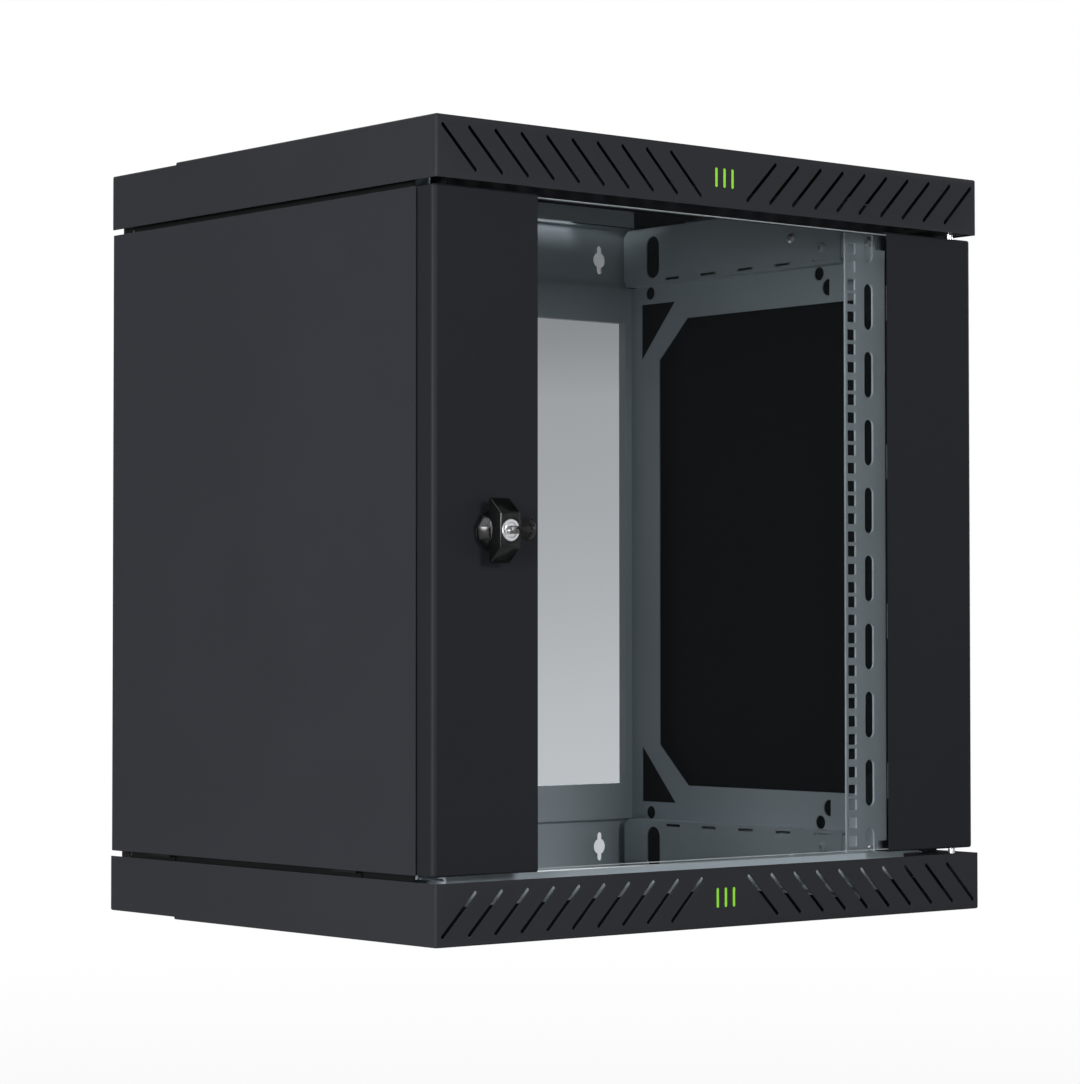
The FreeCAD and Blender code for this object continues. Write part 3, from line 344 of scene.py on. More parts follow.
# ---------------------------------------------------------------- finishes
def powder_coat(name, tone, roughness, specular=0.5, peel=0.10, painted_shade_rule=None):
    """Powder coat: fine orange peel, faint clouds of tone, and slightly uneven gloss.

    The optional rule gives the share of painted shade, a near-black, from the piece's own
    coordinates.
    """
    material, net, principled = shader(name, Specular_IOR_Level=specular)
    where = net.place()
    clouds = net.noise(where, 7.0, 3.0, 0.6)
    grain = net.noise(where, 1500.0, 2.0, 0.55)
    waves = net.noise(where, 420.0, 2.0, 0.5)
    tones = net.mix(toned(tone, 0.90), toned(tone, 1.10), clouds)
    speckled = net.mix(tones, toned(tone, 1.35), grain * grain * 0.30)
    # painted shade: the colour goes to near-black where the rule marks shade
    if painted_shade_rule:
        parts = net.node("ShaderNodeSeparateXYZ", None, {"Vector": where})
        speckled = net.mix(speckled, PAINTED_SHADE_BLACK, painted_shade_rule(net, parts))
    height = waves * 0.7 + grain * 0.3
    feed(net, principled, Base_Color=speckled,
         Roughness=roughness - 0.05 + clouds * 0.06 + grain * 0.05,
         Normal=net.bump(height, peel, 0.0002))
    return material


def frame_painted_shade(net, parts):
    """Painted shade: black on the frame's outer faces, behind the beams' cable slots and the
    rails, where only shade falls.
    """
    side = net.maths("ABSOLUTE", parts["X"])
    rise = net.maths("ABSOLUTE", parts["Z"] - MID_Z)
    outer = net.maths("GREATER_THAN", side, SHADED_OUTSIDE)
    behind = net.maths("GREATER_THAN", side, SHADED_BEHIND)
    beams = net.maths("GREATER_THAN", rise, MID_Z - BEAM_HEIGHT)
    front = net.maths("LESS_THAN", parts["Y"], RAIL_REAR)
    rear = net.maths("GREATER_THAN", parts["Y"], BEAM_REAR)
    shaded_behind = behind * net.maths("MAXIMUM", beams * rear, front)
    return net.maths("MAXIMUM", outer, shaded_behind)


def panel_painted_shade(net, parts):
    """Painted shade: near-black on the inner faces of the side panels, where little light falls.
    """
    side = net.maths("ABSOLUTE", parts["X"])
    return net.maths("LESS_THAN", side, HALF_WIDTH - PANEL_SKIN) * 0.90


def plated(name, tone, roughness, scratch=0.06):
    """Plated metal: fine drawn lines and soft stains."""
    material, net, principled = shader(name, Metallic=1.0)
    lines = net.noise(net.place((1.0, 1.0, 40.0)), 260.0, 3.0, 0.6)
    stains = net.noise(net.place(), 90.0, 3.0, 0.6)
    feed(net, principled, Base_Color=net.mix(toned(tone, 0.82), toned(tone, 1.12), stains),
         Roughness=roughness - 0.04 + stains * 0.08 + lines * 0.04,
         Normal=net.bump(lines, scratch, 0.00008))
    return material


def moulded(name, tone, roughness, specular=0.5, grain=0.08):
    """Moulded plastic or rubber: very fine texture."""
    material, net, principled = shader(name, Specular_IOR_Level=specular)
    texture = net.noise(net.place(), 1900.0, 2.0, 0.6)
    smears = net.noise(net.place(), 60.0, 3.0, 0.6)
    feed(net, principled, Base_Color=net.mix(toned(tone, 0.85), toned(tone, 1.2), smears),
         Roughness=roughness - 0.05 + smears * 0.10, Normal=net.bump(texture, grain, 0.0001))
    return material


def clear_glass(name, tint, cover):
    """Clear sheet glass with a faint grey body and a few dust specks."""
    material, net, principled = shader(name, Roughness=0.03, Specular_IOR_Level=0.03, IOR=1.5)
    dust = net.noise(net.place(), 900.0, 3.0, 0.7)
    smears = net.noise(net.place((1.0, 1.0, 0.4)), 9.0, 2.0, 0.6)
    specks = net.node("ShaderNodeValToRGB", {"stops": ((0.70, 0.0), (0.78, 1.0))}, {"Fac": dust})
    level = net.node("ShaderNodeRGBToBW", None, {"Color": specks})
    feed(net, principled, Base_Color=net.mix(tint, (0.25, 0.26, 0.27), level * 0.2),
         Alpha=cover + smears * 0.02 + level * 0.02)
    return material


def make_finishes():
    """Every finish of the cabinet, by the record's slot name."""
    tones = bpy.context.scene.cabinet_finishes
    rough, satin = tones.paint_roughness, tones.frame_roughness
    for maker, finishes in (
            (powder_coat, {
                "cap_paint": (tones.cap_paint, rough, 0.06),
                # the panels' inner faces carry painted shade
                "panel_paint": (tones.panel_paint, rough, 0.06, 0.10, panel_painted_shade),
                "door_paint": (tones.door_paint, rough, 0.06),
                # the frame paint carries its painted shade
                "frame_paint": (tones.frame_paint, satin, 0.25, 0.07, frame_painted_shade),
                "rail_paint": (tones.rail_paint, satin, 0.30, 0.05),
                "lug_paint": (tones.lug_paint, rough, 0.3),
                # painted shade: a darker, matt copy of the cap paint inside the caps
                "cap_inside": (toned(tones.cap_paint, 0.4), 0.9, 0.0)}),
            (moulded, {
                "accent_enamel": (tones.accent, 0.35, 0.4, 0.03),
                "black_rubber": (tones.rubber, 0.7, 0.3, 0.15),
                # painted highlight: pale grey seal tape gives a bright line along the strips'
                # edges
                "seal_tape": (tones.seal, 0.8, 0.2, 0.2),
                "key_head": (tones.key_head, 0.12, 0.5, 0.0),
                "knob_plastic": (tones.knob_plastic, 0.15, 0.28, 0.02),
                "barrel_plastic": (tones.barrel_plastic, 0.38),
                "glass_edge": (tones.glass_edge, 0.45, 0.5, 0.10)}),
            (plated, {
                "lock_chrome": (tones.chrome, 0.26, 0.03),
                "key_nickel": (tones.nickel, 0.16, 0.04),
                "zinc_steel": (tones.zinc, 0.30),
                "spring_steel": (tones.spring_wire, 0.30)}),
            (clear_glass, {"door_glass": (tones.glass_tint, tones.glass_cover)})):
        for name, settings in finishes.items():
            maker(name, *settings).use_fake_user = True


def finish(name):
    """Finish by name; all of them are made at the first call."""
    if OWN + name not in bpy.data.materials:
        make_finishes()
    return bpy.data.materials[OWN + name]


# ---------------------------------------------------------------- mesh helpers
def linked(name, mesh):
    """New object of a mesh at the origin."""
    thing = bpy.data.objects.new(name, mesh)
    bpy.context.scene.collection.objects.link(thing)
    return thing


def from_bmesh(name, shape):
    """New object of a bmesh, with its faces pointing outwards."""
    bmesh.ops.recalc_face_normals(shape, faces=shape.faces)
    mesh = bpy.data.meshes.new(name)
    shape.to_mesh(mesh)
    shape.free()
    return linked(name, mesh)


def add_block(shape, low, high):
    """Cuboid between two corners, added to a bmesh."""
    size = [b - a for a, b in zip(low, high)]
    middle = [(a + b) / 2 for a, b in zip(low, high)]
    matrix = Matrix.Translation(middle) @ Matrix.Diagonal((*size, 1.0))
    return bmesh.ops.create_cube(shape, size=1.0, matrix=matrix)["verts"]


def add_prism(shape, outline, low, high):
    """Closed prism on an outline of (x, y), between two heights along Z."""
    rings = [[shape.verts.new((x, y, z)) for x, y in outline] for z in (low, high)]
    shape.faces.new(reversed(rings[0]))
    shape.faces.new(rings[1])
    close_walls(shape, rings)


def close_walls(shape, rings):
    """Quads between following rings of vertices."""
    for lower, upper in zip(rings, rings[1:]):
        for i in range(len(lower)):
            j = (i + 1) % len(lower)
            shape.faces.new((lower[i], lower[j], upper[j], upper[i]))


def turned(name, profile, sides, turn=0.0):
    """Object of a closed solid turned about Z from (radius, height) pairs."""
    shape = bmesh.new()
    rings = []
    for radius, height in profile:
        angles = [turn + 2 * math.pi * i / sides for i in range(sides)]
        rings.append([shape.verts.new((radius * math.cos(a), radius * math.sin(a), height))
                      for a in angles])
    close_walls(shape, rings)
    for ring in (rings[0], rings[-1]):
        shape.faces.new(ring)
    return from_bmesh(name, shape)


def round_edges(shape, radius, segments, chosen):
    """Round the edges whose middle and direction pass the test."""
    edges = []
    for edge in shape.edges:
        a, b = edge.verts[0].co, edge.verts[1].co
        if chosen((a + b) / 2, (b - a).normalized()):
            edges.append(edge)
    bmesh.ops.bevel(shape, geom=edges, offset=radius, segments=segments, profile=0.5,
                    affect="EDGES")


def near(a, b):
    return abs(a - b) < 1e-6


def evaluated_mesh(thing):
    """Plain mesh of an object with its modifiers worked out; the object is removed."""
    graph = bpy.context.evaluated_depsgraph_get()
    mesh = bpy.data.meshes.new_from_object(thing.evaluated_get(graph))
    name = thing.name
    old = thing.data
    bpy.data.objects.remove(thing)
    if old.users == 0:
        bpy.data.meshes.remove(old)
    return name, mesh


def settle(thing, angle=35.0):
    """The object as a plain mesh, smooth where its faces meet gently."""
    name, mesh = evaluated_mesh(thing)
    thing = linked(name, mesh)
    mesh.set_sharp_from_angle(angle=math.radians(angle))
    return thing


def modify(thing, kind, **settings):
    """Add a modifier with its settings."""
    modifier = thing.modifiers.new(kind.title(), kind)
    for name, value in settings.items():
        setattr(modifier, name, value)


def carve(thing, tool, operation="DIFFERENCE"):
    """Boolean of two objects as a plain object; the tool is removed."""
    modify(thing, "BOOLEAN", object=tool, operation=operation, solver="EXACT")
    name, mesh = evaluated_mesh(thing)
    bpy.data.objects.remove(tool)
    return linked(name, mesh)


def soften(thing, width, segments=2, angle=30.0):
    """Rounded edges on the whole piece."""
    modify(thing, "BEVEL", width=width, segments=segments, limit_method="ANGLE",
           angle_limit=math.radians(angle), harden_normals=False)
    return settle(thing)


def blocks(name, corners):
    """Object of one or more cuboids."""
    shape = bmesh.new()
    for low, high in corners:
        add_block(shape, low, high)
    return from_bmesh(name, shape)


def flipped(thing, name, axis, centre):
    """Mirror image of an object across a plane, as a new object."""
    mesh = thing.data.copy()
    shape = bmesh.new()
    shape.from_mesh(mesh)
    for vert in shape.verts:
        vert.co[axis] = 2 * centre - vert.co[axis]
    bmesh.ops.reverse_faces(shape, faces=shape.faces)
    shape.to_mesh(mesh)
    shape.free()
    return linked(name, mesh)


def paint(thing, slot):
    thing.data.materials.clear()
    thing.data.materials.append(finish(slot))


def deliver(thing, node, slot=None, painted=True, replaces=True):
    """Give a finished piece its slot's finish unless it is painted already, hang it on its node's
    body, and let it stand for its node.

    The slot is the node's own unless another is given.
    """
    slot = slot or SLOTS[node]
    if painted:
        paint(thing, slot)
    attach(thing, NODES[node]["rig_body"])
    if replaces:
        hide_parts(node)


# ---------------------------------------------------------------- geometry node trees
class Recipe(Net):
    """A geometry node tree with named inputs."""

    def __init__(self, name, inputs):
        super().__init__(bpy.data.node_groups.new(name, "GeometryNodeTree"))
        face = self.tree.interface
        face.new_socket("Geometry", in_out="INPUT", socket_type="NodeSocketGeometry")
        for label, kind in inputs:
            face.new_socket(label, in_out="INPUT", socket_type="NodeSocket" + kind)
        face.new_socket("Geometry", in_out="OUTPUT", socket_type="NodeSocketGeometry")
        self.given = self.node("NodeGroupInput")

    def done(self, geometry):
        """End in Realize Instances and Set Material."""
        real = self.node("GeometryNodeRealizeInstances", None, {"Geometry": geometry})
        painted = self.node("GeometryNodeSetMaterial", None,
                            {"Geometry": real, "Material": self.given["Finish"]})
        self.node("NodeGroupOutput", None, {"Geometry": painted})
        return self.tree


def punch_recipe():
    """Row of holes cut by a tool: rack holes, slots, slits and slanted vents."""
    net = Recipe("Row of holes", (("Tool", "Object"), ("Count", "Int"), ("First", "Vector"),
                                  ("Step", "Vector"), ("Turn", "Rotation"),
                                  ("Finish", "Material")))
    given = net.given
    tool = net.node("GeometryNodeObjectInfo", None, {"Object": given["Tool"]})["Geometry"]
    row = net.node("GeometryNodeMeshLine", {"mode": "OFFSET", "count_mode": "TOTAL"}, {
        "Count": given["Count"], "Start Location": given["First"], "Offset": given["Step"]})
    tools = net.node("GeometryNodeInstanceOnPoints", None, {
        "Points": row, "Instance": tool, "Rotation": given["Turn"]})
    cutters = net.node("GeometryNodeRealizeInstances", None, {"Geometry": tools})
    cut = net.node("GeometryNodeMeshBoolean", {"operation": "DIFFERENCE", "solver": "EXACT"},
                   {"Mesh 1": given["Geometry"], "Mesh 2": cutters})
    return net.done(cut)


def fastener_recipe():
    """Copies of one fastener on points; each stands along its point's way."""
    net = Recipe("Fasteners", (("Fastener", "Object"), ("Random turn", "Float"),
                               ("Seed", "Int"), ("Finish", "Material")))
    given = net.given
    pattern = net.node("GeometryNodeObjectInfo", None, {"Object": given["Fastener"]})["Geometry"]
    way = net.node("GeometryNodeInputNamedAttribute", {"data_type": "FLOAT_VECTOR"},
                   {"Name": "way"})
    stand = net.node("FunctionNodeAlignRotationToVector", {"axis": "Z"}, {"Vector": way})
    chance = net.node("FunctionNodeRandomValue", {"data_type": "FLOAT"}, {"Seed": given["Seed"]})
    spin = net.node("FunctionNodeAxisAngleToRotation", None, {
        "Axis": (0.0, 0.0, 1.0), "Angle": chance["Value"] * given["Random turn"]})
    turned = net.node("FunctionNodeRotateRotation", {"rotation_space": "LOCAL"},
                      {"Rotation": stand, "Rotate By": spin})
    copies = net.node("GeometryNodeInstanceOnPoints", None, {
        "Points": given["Geometry"], "Instance": pattern, "Rotation": turned})
    return net.done(copies)


def coil_recipe():
    """Wire wound to a helix with closed ends."""
    net = Recipe("Coil", (("Radius", "Float"), ("Wire", "Float"), ("Height", "Float"),
                          ("Turns", "Float"), ("Base", "Vector"), ("Finish", "Material")))
    given = net.given
    line = net.node("GeometryNodeCurveSpiral", None, {
        "Resolution": 28, "Rotations": given["Turns"], "Start Radius": given["Radius"],
        "End Radius": given["Radius"], "Height": given["Height"]})
    section = net.node("GeometryNodeCurvePrimitiveCircle", {"mode": "RADIUS"},
                       {"Resolution": 10, "Radius": given["Wire"]})
    wire = net.node("GeometryNodeCurveToMesh", None,
                    {"Curve": line, "Profile Curve": section, "Fill Caps": True})
    placed = net.node("GeometryNodeTransform", None,
                      {"Geometry": wire, "Translation": given["Base"]})
    return net.done(placed)


def run_recipe(thing, tree, **inputs):
    """Add a recipe's modifier; each input is set by its socket's identifier."""
    modifier = thing.modifiers.new(tree.name, "NODES")
    modifier.node_group = tree
    sockets = {item.name: item.identifier for item in tree.interface.items_tree
               if item.in_out == "INPUT"}
    for name, value in inputs.items():
        modifier[sockets[name.replace("_", " ")]] = value
    return thing


def recipe(name, make):
    """A tree that is made once."""
    return bpy.data.node_groups.get(name) or make()


def slot_tool(name, width, height, corner, reach, edge):
    """Cutter of a rounded slot along Y: Z = 0 is the sheet's face, where its edge flares."""
    arc = 6
    outline = []
    for i, (sx, sy) in enumerate(((1, 1), (-1, 1), (-1, -1), (1, -1))):
        centre = (sx * (width / 2 - corner), sy * (height / 2 - corner))
        for k in range(arc + 1):
            angle = math.pi / 2 * (i + k / arc)
            outline.append((centre, (math.cos(angle), math.sin(angle))))
    shape = bmesh.new()
    rings = []
    for z, grow in ((-reach, 0.0), (-edge, 0.0), (0.0, edge), (reach, edge)):
        radius = corner + grow
        rings.append([shape.verts.new((c[0] + radius * d[0], c[1] + radius * d[1], z))
                      for c, d in outline])
    close_walls(shape, rings)
    shape.faces.new(reversed(rings[0]))
    shape.faces.new(rings[-1])
    bmesh.ops.remove_doubles(shape, verts=shape.verts, dist=1e-7)
    return from_bmesh(name, shape)


def punch(thing, tool, count, first, step, turn, slot):
    """Cut a row of holes with the row-of-holes recipe."""
    run_recipe(thing, recipe("Row of holes", punch_recipe), Tool=tool, Count=count,
               First=first, Step=step, Turn=turn, Finish=finish(slot))


def fasten(name, pattern, places, slot, random_turn=0.0, seed=1):
    """Copies of a pattern on (point, way) places; the pattern is removed."""
    mesh = bpy.data.meshes.new(name)
    mesh.from_pydata([point for point, way in places], [], [])
    ways = mesh.attributes.new("way", "FLOAT_VECTOR", "POINT")
    for i, (point, way) in enumerate(places):
        ways.data[i].vector = way
    thing = run_recipe(linked(name, mesh), recipe("Fasteners", fastener_recipe),
                       Fastener=pattern, Random_turn=random_turn, Seed=seed,
                       Finish=finish(slot))
    thing = settle(thing)
    bpy.data.objects.remove(pattern)
    return thing


def all_corners(points, way):
    """The four mirror images of each point, given in millimetres, with their ways."""
    return [((sx * x, y, z if sz > 0 else WHOLE_HEIGHT - z), (sx * way[0], way[1], sz * way[2]))
            for x, y, z in (mm(*point) for point in points) for sx in (1, -1) for sz in (1, -1)]


# ---------------------------------------------------------------- operators
class Cabinet(bpy.types.Operator):
    """Base of the cabinet's operators."""

    bl_options = {"REGISTER", "UNDO"}

    @property
    def sizes(self):
        return bpy.context.scene.cabinet_sizes


# nodes that show another finish than their slot's: the top front bar is painted black as
# painted shade, and the seals pale grey as a painted highlight
PAINTED_LIGHT_FINISHES = {"left_glass_seal": "seal_tape", "right_glass_seal": "seal_tape",
         "top_front_bar": "cap_paint"}


class CABINET_OT_sheet_metal(Cabinet):
    """Paint the folded pieces, pins and lugs that stay as the frame has them"""

    bl_idname = "cabinet.sheet_metal"
    bl_label = "Sheet metal"

    def execute(self, context):
        for node, thing in NODES.items():
            paint(thing, PAINTED_LIGHT_FINISHES.get(node, SLOTS[node]))
        return {"FINISHED"}


class CABINET_OT_caps(Cabinet):
    """Fold the two caps and punch their slanted vents"""

    bl_idname = "cabinet.caps"
    bl_label = "Caps"

    def execute(self, context):
        s = self.sizes
        x, y0, y1, top = HALF_WIDTH, CAP_LOW.y, CAP_HIGH.y, CAP_HIGH.z
        t, step_y, step, entry = s.cap_sheet, s.cap_step_y, s.cap_step, s.entry_half
        front, rear = bmesh.new(), bmesh.new()
        add_block(front, (-x, y0, 0.0), (x, step_y + t, top))
        add_block(rear, (-x, step_y, step), (x, y1, top))
        round_edges(front, s.cap_bend, 4, lambda m, w: near(m.y, y0) and m.z < top * 0.9
                    or near(abs(m.x), x) and near(m.z, 0.0))
        round_edges(rear, s.cap_bend, 4, lambda m, w: near(abs(m.x), x) and near(m.z, step))
        cap = from_bmesh("bottom_cap_sheet", front)
        cap = carve(cap, from_bmesh("rear_block", rear), "UNION")
        hollow = bmesh.new()
        add_block(hollow, (t - x, y0 + t, t), (x - t, step_y, 2 * top))
        round_edges(hollow, s.cap_bend - t, 2, lambda m, w: near(m.z, t)
                    and (abs(w.x) > 0.99 and m.y < 0 or abs(w.y) > 0.99))
        cap = carve(cap, from_bmesh("hollow", hollow))
        for low, high, operation in (
                ((t - x, step_y - t, step + t), (x - t, y1 + t, 2 * top), "DIFFERENCE"),
                ((-entry, step_y + t, -t), (entry, y1 + t, step + 2 * t), "DIFFERENCE"),
                ((-entry, step_y, 0.0), (entry, step_y + t, s.entry_lip), "UNION")):
            cap = carve(cap, blocks("hollow", [(low, high)]), operation)
        tool = slot_tool("vent_tool", s.vent_width, s.vent_length, s.vent_width / 2,
                         3 * t, s.punch_edge)
        for side in (1, -1):
            first = (side * (x - s.vent_edge), y0, top / 2)
            turn = Euler((math.pi / 2, 0.0, 0.0)).to_matrix() @ Matrix.Rotation(
                side * s.vent_lean, 3, "Z")
            punch(cap, tool, s.vent_count, first, (-side * s.vent_pitch, 0.0, 0.0),
                  turn.to_euler(), "cap_paint")
        bars = accent_tool(s.accent_pitch)
        punch(cap, bars, 3, (-s.accent_pitch, y0, top / 2), (s.accent_pitch, 0.0, 0.0),
              Euler((math.pi / 2, 0.0, 0.0)), "cap_paint")
        cap = settle(cap)
        for used in (tool, bars):
            bpy.data.objects.remove(used)
        for name in ("frame_paint", "cap_inside"):
            cap.data.materials.append(finish(name))
        bright, shaded_inside = len(cap.data.materials) - 2, len(cap.data.materials) - 1
        # painted shade on the caps' inside floor and roof; frame paint on the entry lips
        for face in cap.data.polygons:
            c = face.center
            if min(abs(c.z - t), abs(c.z - t - step)) < 0.1 * MM and abs(face.normal.z) > 0.9:
                face.material_index = shaded_inside
            if (abs(c.x) < entry and abs(c.y - step_y - t / 2) < MM
                    and step < c.z < s.entry_lip + MM):
                face.material_index = bright
        lid = flipped(cap, "top_cap_sheet", 2, MID_Z)
        deliver(cap, "bottom_cap", painted=False)
        deliver(lid, "top_cap", painted=False)
        return {"FINISHED"}


def accent_tool(pitch):
    """Cutter of the pocket of an accent bar."""
    low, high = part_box("accent_bars")
    width = high.x - low.x - 2 * pitch
    tall = 2 * (high.z - WHOLE_HEIGHT + CAP_HIGH.z / 2)
    return slot_tool("accent_tool", width, tall, width / 2.02, high.y - low.y, 0.0)


class CABINET_OT_accents(Cabinet):
    """Set the plain accent bars in the middle of both caps"""

    bl_idname = "cabinet.accents"
    bl_label = "Accent bars"

    def execute(self, context):
        low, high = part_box("accent_bars")
        pitch = self.sizes.accent_pitch
        bar = accent_tool(pitch)
        bar.data.transform(Matrix.Translation((0.0, 0.0, -(high.y - low.y) / 2))
                           @ Matrix.Diagonal((0.98, 0.995, 0.49, 1.0)))
        places = [((i * pitch, low.y, z), (0.0, -1.0, 0.0)) for i in (-1, 0, 1)
                  for z in (CAP_HIGH.z / 2, WHOLE_HEIGHT - CAP_HIGH.z / 2)]
        bars = fasten("accent_bar_set", bar, places, "accent_enamel")
        deliver(bars, "accent_bars")
        return {"FINISHED"}


class CABINET_OT_rails(Cabinet):
    """Fold the two rack rails and punch their square holes and cable slots"""

    bl_idname = "cabinet.rails"
    bl_label = "Rack rails"

    def execute(self, context):
        s = self.sizes
        low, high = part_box("right_rail")
        t = s.rail_sheet
        shape = bmesh.new()
        add_prism(shape, [(low.x, low.y), (high.x, low.y), (high.x, high.y),
                          (high.x - t, high.y), (high.x - t, low.y + t), (low.x, low.y + t)],
                  low.z, high.z)
        round_edges(shape, s.rail_bend, 5, lambda m, w: abs(w.z) > 0.99 and near(m.x, high.x)
                    and near(m.y, low.y))
        rail = from_bmesh("right_rack_rail", shape)
        out, back = high.x + t, low.y + NOTCH_DEEP
        corner = (high.x - NOTCH_WIDE, low.y - t)
        rail = carve(rail, blocks("notches", [
            ((*corner, low.z - t), (out, back, low.z + NOTCH_TALL)),
            ((*corner, high.z - NOTCH_TALL), (out, back, high.z + t))]))
        rail = carve(rail, blocks("relief", [
            ((high.x - 2 * t, low.y + FLANGE_LIP, low.z + FLANGE_TAB),
             (out, high.y + t, high.z - FLANGE_TAB))]))
        edge = s.punch_edge
        hole = slot_tool("rack_tool", s.rack_hole, s.rack_hole, RACK_CORNER, 2 * t, edge)
        slit = slot_tool("cable_tool", SLOT_WIDE, s.cable_slot, SLOT_CORNER, 2 * t, edge)
        face = Euler((math.pi / 2, 0.0, 0.0))
        foot = MID_Z - s.rack_units * s.rack_unit / 2
        for step in RACK_STEPS:
            punch(rail, hole, s.rack_units, (low.x + RACK_HOLE_X, low.y, foot + step),
                  (0.0, 0.0, s.rack_unit), face, "rail_paint")
        punch(rail, slit, SLOT_COUNT,
              (low.x + SLOT_X, low.y, MID_Z - (SLOT_COUNT - 1) / 2 * SLOT_PITCH),
              (0.0, 0.0, SLOT_PITCH), face, "rail_paint")
        rail = settle(rail)
        for tool in (hole, slit):
            bpy.data.objects.remove(tool)
        other = flipped(rail, "left_rack_rail", 0, 0.0)
        deliver(rail, "right_rail")
        deliver(other, "left_rail")
        return {"FINISHED"}


def cross_cutter(width, reach, deep, base, turn):
    """Cutter of one bar of a tapered cross recess, from its depth below the base upwards."""
    shape = bmesh.new()
    made = add_block(shape, (-reach, -width / 2, -deep), (reach, width / 2, deep))
    for vert in made:
        if vert.co.z < 0:
            vert.co.x *= 0.45
            vert.co.y *= 0.7
    bmesh.ops.rotate(shape, verts=made, cent=(0, 0, 0), matrix=Matrix.Rotation(turn, 3, "Z"))
    bmesh.ops.translate(shape, verts=made, vec=(0, 0, base))
    return from_bmesh("cross", shape)


def pan_screw(radius, head, shank, long):
    """Pan head screw with a cross recess; its head stands along +Z from zero."""
    screw = turned("pan_screw", [
        (shank * 0.6, -long), (shank, 0.4 * MM - long), (shank, 0.0), (radius, 0.0),
        (radius, head * 0.35), (radius * 0.93, head * 0.66), (radius * 0.76, head * 0.88),
        (radius * 0.5, head)], 28)
    for turn in (0.0, math.pi / 2):
        screw = carve(screw, cross_cutter(radius * 0.26, radius * 0.55, head * 0.6, head, turn))
    return screw


def button_bolt(radius, head, shank, grip, long, across, nut):
    """Button head bolt with a hexagon socket, and its nut at the far side of the grip."""
    bolt = turned("button_bolt", [
        (shank * 0.8, -long), (shank, 0.6 * MM - long), (shank, 0.0), (radius, 0.0),
        (radius * 0.985, head * 0.2), (radius * 0.9, head * 0.55), (radius * 0.72, head * 0.85),
        (radius * 0.55, head)], 28)
    socket = radius * 0.36
    bolt = carve(bolt, turned("socket", [(socket, head * 0.4), (socket, head * 2)], 6))
    hexagon = across / math.sqrt(3)
    ring = turned("nut", [(hexagon * 0.93, -grip - nut), (hexagon, 0.4 * MM - grip - nut),
                          (hexagon, -grip - 0.3 * MM), (hexagon * 0.95, -grip)], 6)
    return carve(bolt, ring, "UNION")


def blind_rivet(radius, head, shank, grip):
    """Blind rivet: domed head with its pulled stem, and a low head inside."""
    return turned("blind_rivet", [
        (shank * 0.9, -grip - head), (radius * 0.8, -grip - head * 0.5), (radius * 0.95, -grip),
        (shank, -grip), (shank, 0.0), (radius, 0.0), (radius * 0.96, head * 0.4),
        (radius * 0.75, head * 0.85), (radius * 0.42, head), (radius * 0.36, head * 0.55),
        (radius * 0.1, head * 0.6)], 20)


def stud_nut(radius, high, shank, base):
    """Small flanged hexagon nut on a stud."""
    nut = turned("stud_nut", [
        (radius, 0.0), (radius, high * 0.25), (radius * 0.95, high * 0.3),
        (radius * 0.93, high * 0.3), (radius * 0.93, high * 0.86), (radius * 0.8, high)], 6)
    stud = turned("stud", [(shank, -base), (shank, high * 0.8), (shank * 0.8, high)], 16)
    return carve(nut, stud, "UNION")


class CABINET_OT_fasteners(Cabinet):
    """Place the screws, bolts, rivets and nuts"""

    bl_idname = "cabinet.fasteners"
    bl_label = "Fasteners"

    def execute(self, context):
        whole = 2 * math.pi
        zinc, grey = "zinc_steel", "frame_paint"
        for name, pattern, places, shown, turn, seed, node, slot in (
                ("cap_screw_set", pan_screw(*mm(*CAP_SCREW)),
                 all_corners(CAP_SCREW_PLACES, INWARDS), zinc, whole, 3, "cap_screws", zinc),
                ("rail_bolt_set", button_bolt(*mm(*RAIL_BOLT)),
                 all_corners(RAIL_BOLT_PLACES, INWARDS), zinc, whole, 5, "splice_bolts", zinc),
                ("beam_bolt_set", button_bolt(*mm(*BEAM_BOLT)),
                 all_corners(BEAM_BOLT_PLACES, INWARDS), grey, whole, 7, "splice_bolts", zinc),
                ("frame_rivet_set", blind_rivet(*mm(*FRAME_RIVET)),
                 all_corners(RIVET_PLACES, OUTWARDS), grey, 0.0, 1, "frame_rivets", grey),
                ("clip_nut_set", stud_nut(*mm(*CLIP_NUT)), self.clip_places(),
                 zinc, whole, 11, "clip_screws", zinc)):
            made = fasten(name, pattern, places, shown, turn, seed)
            paint(made, shown)
            deliver(made, node, slot, painted=False, replaces=name != "beam_bolt_set")
        return {"FINISHED"}

    @staticmethod
    def clip_places():
        """Places of the glass clips' nuts: four along each strip of the door."""
        low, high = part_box("clip_screws")
        radius, tall = mm(*CLIP_NUT[:2])
        span = high.z - low.z - 2 * radius
        return [((side * (high.x - radius), high.y - tall, low.z + radius + span * i / 3),
                 (0.0, 1.0, 0.0)) for i in range(4) for side in (1, -1)]


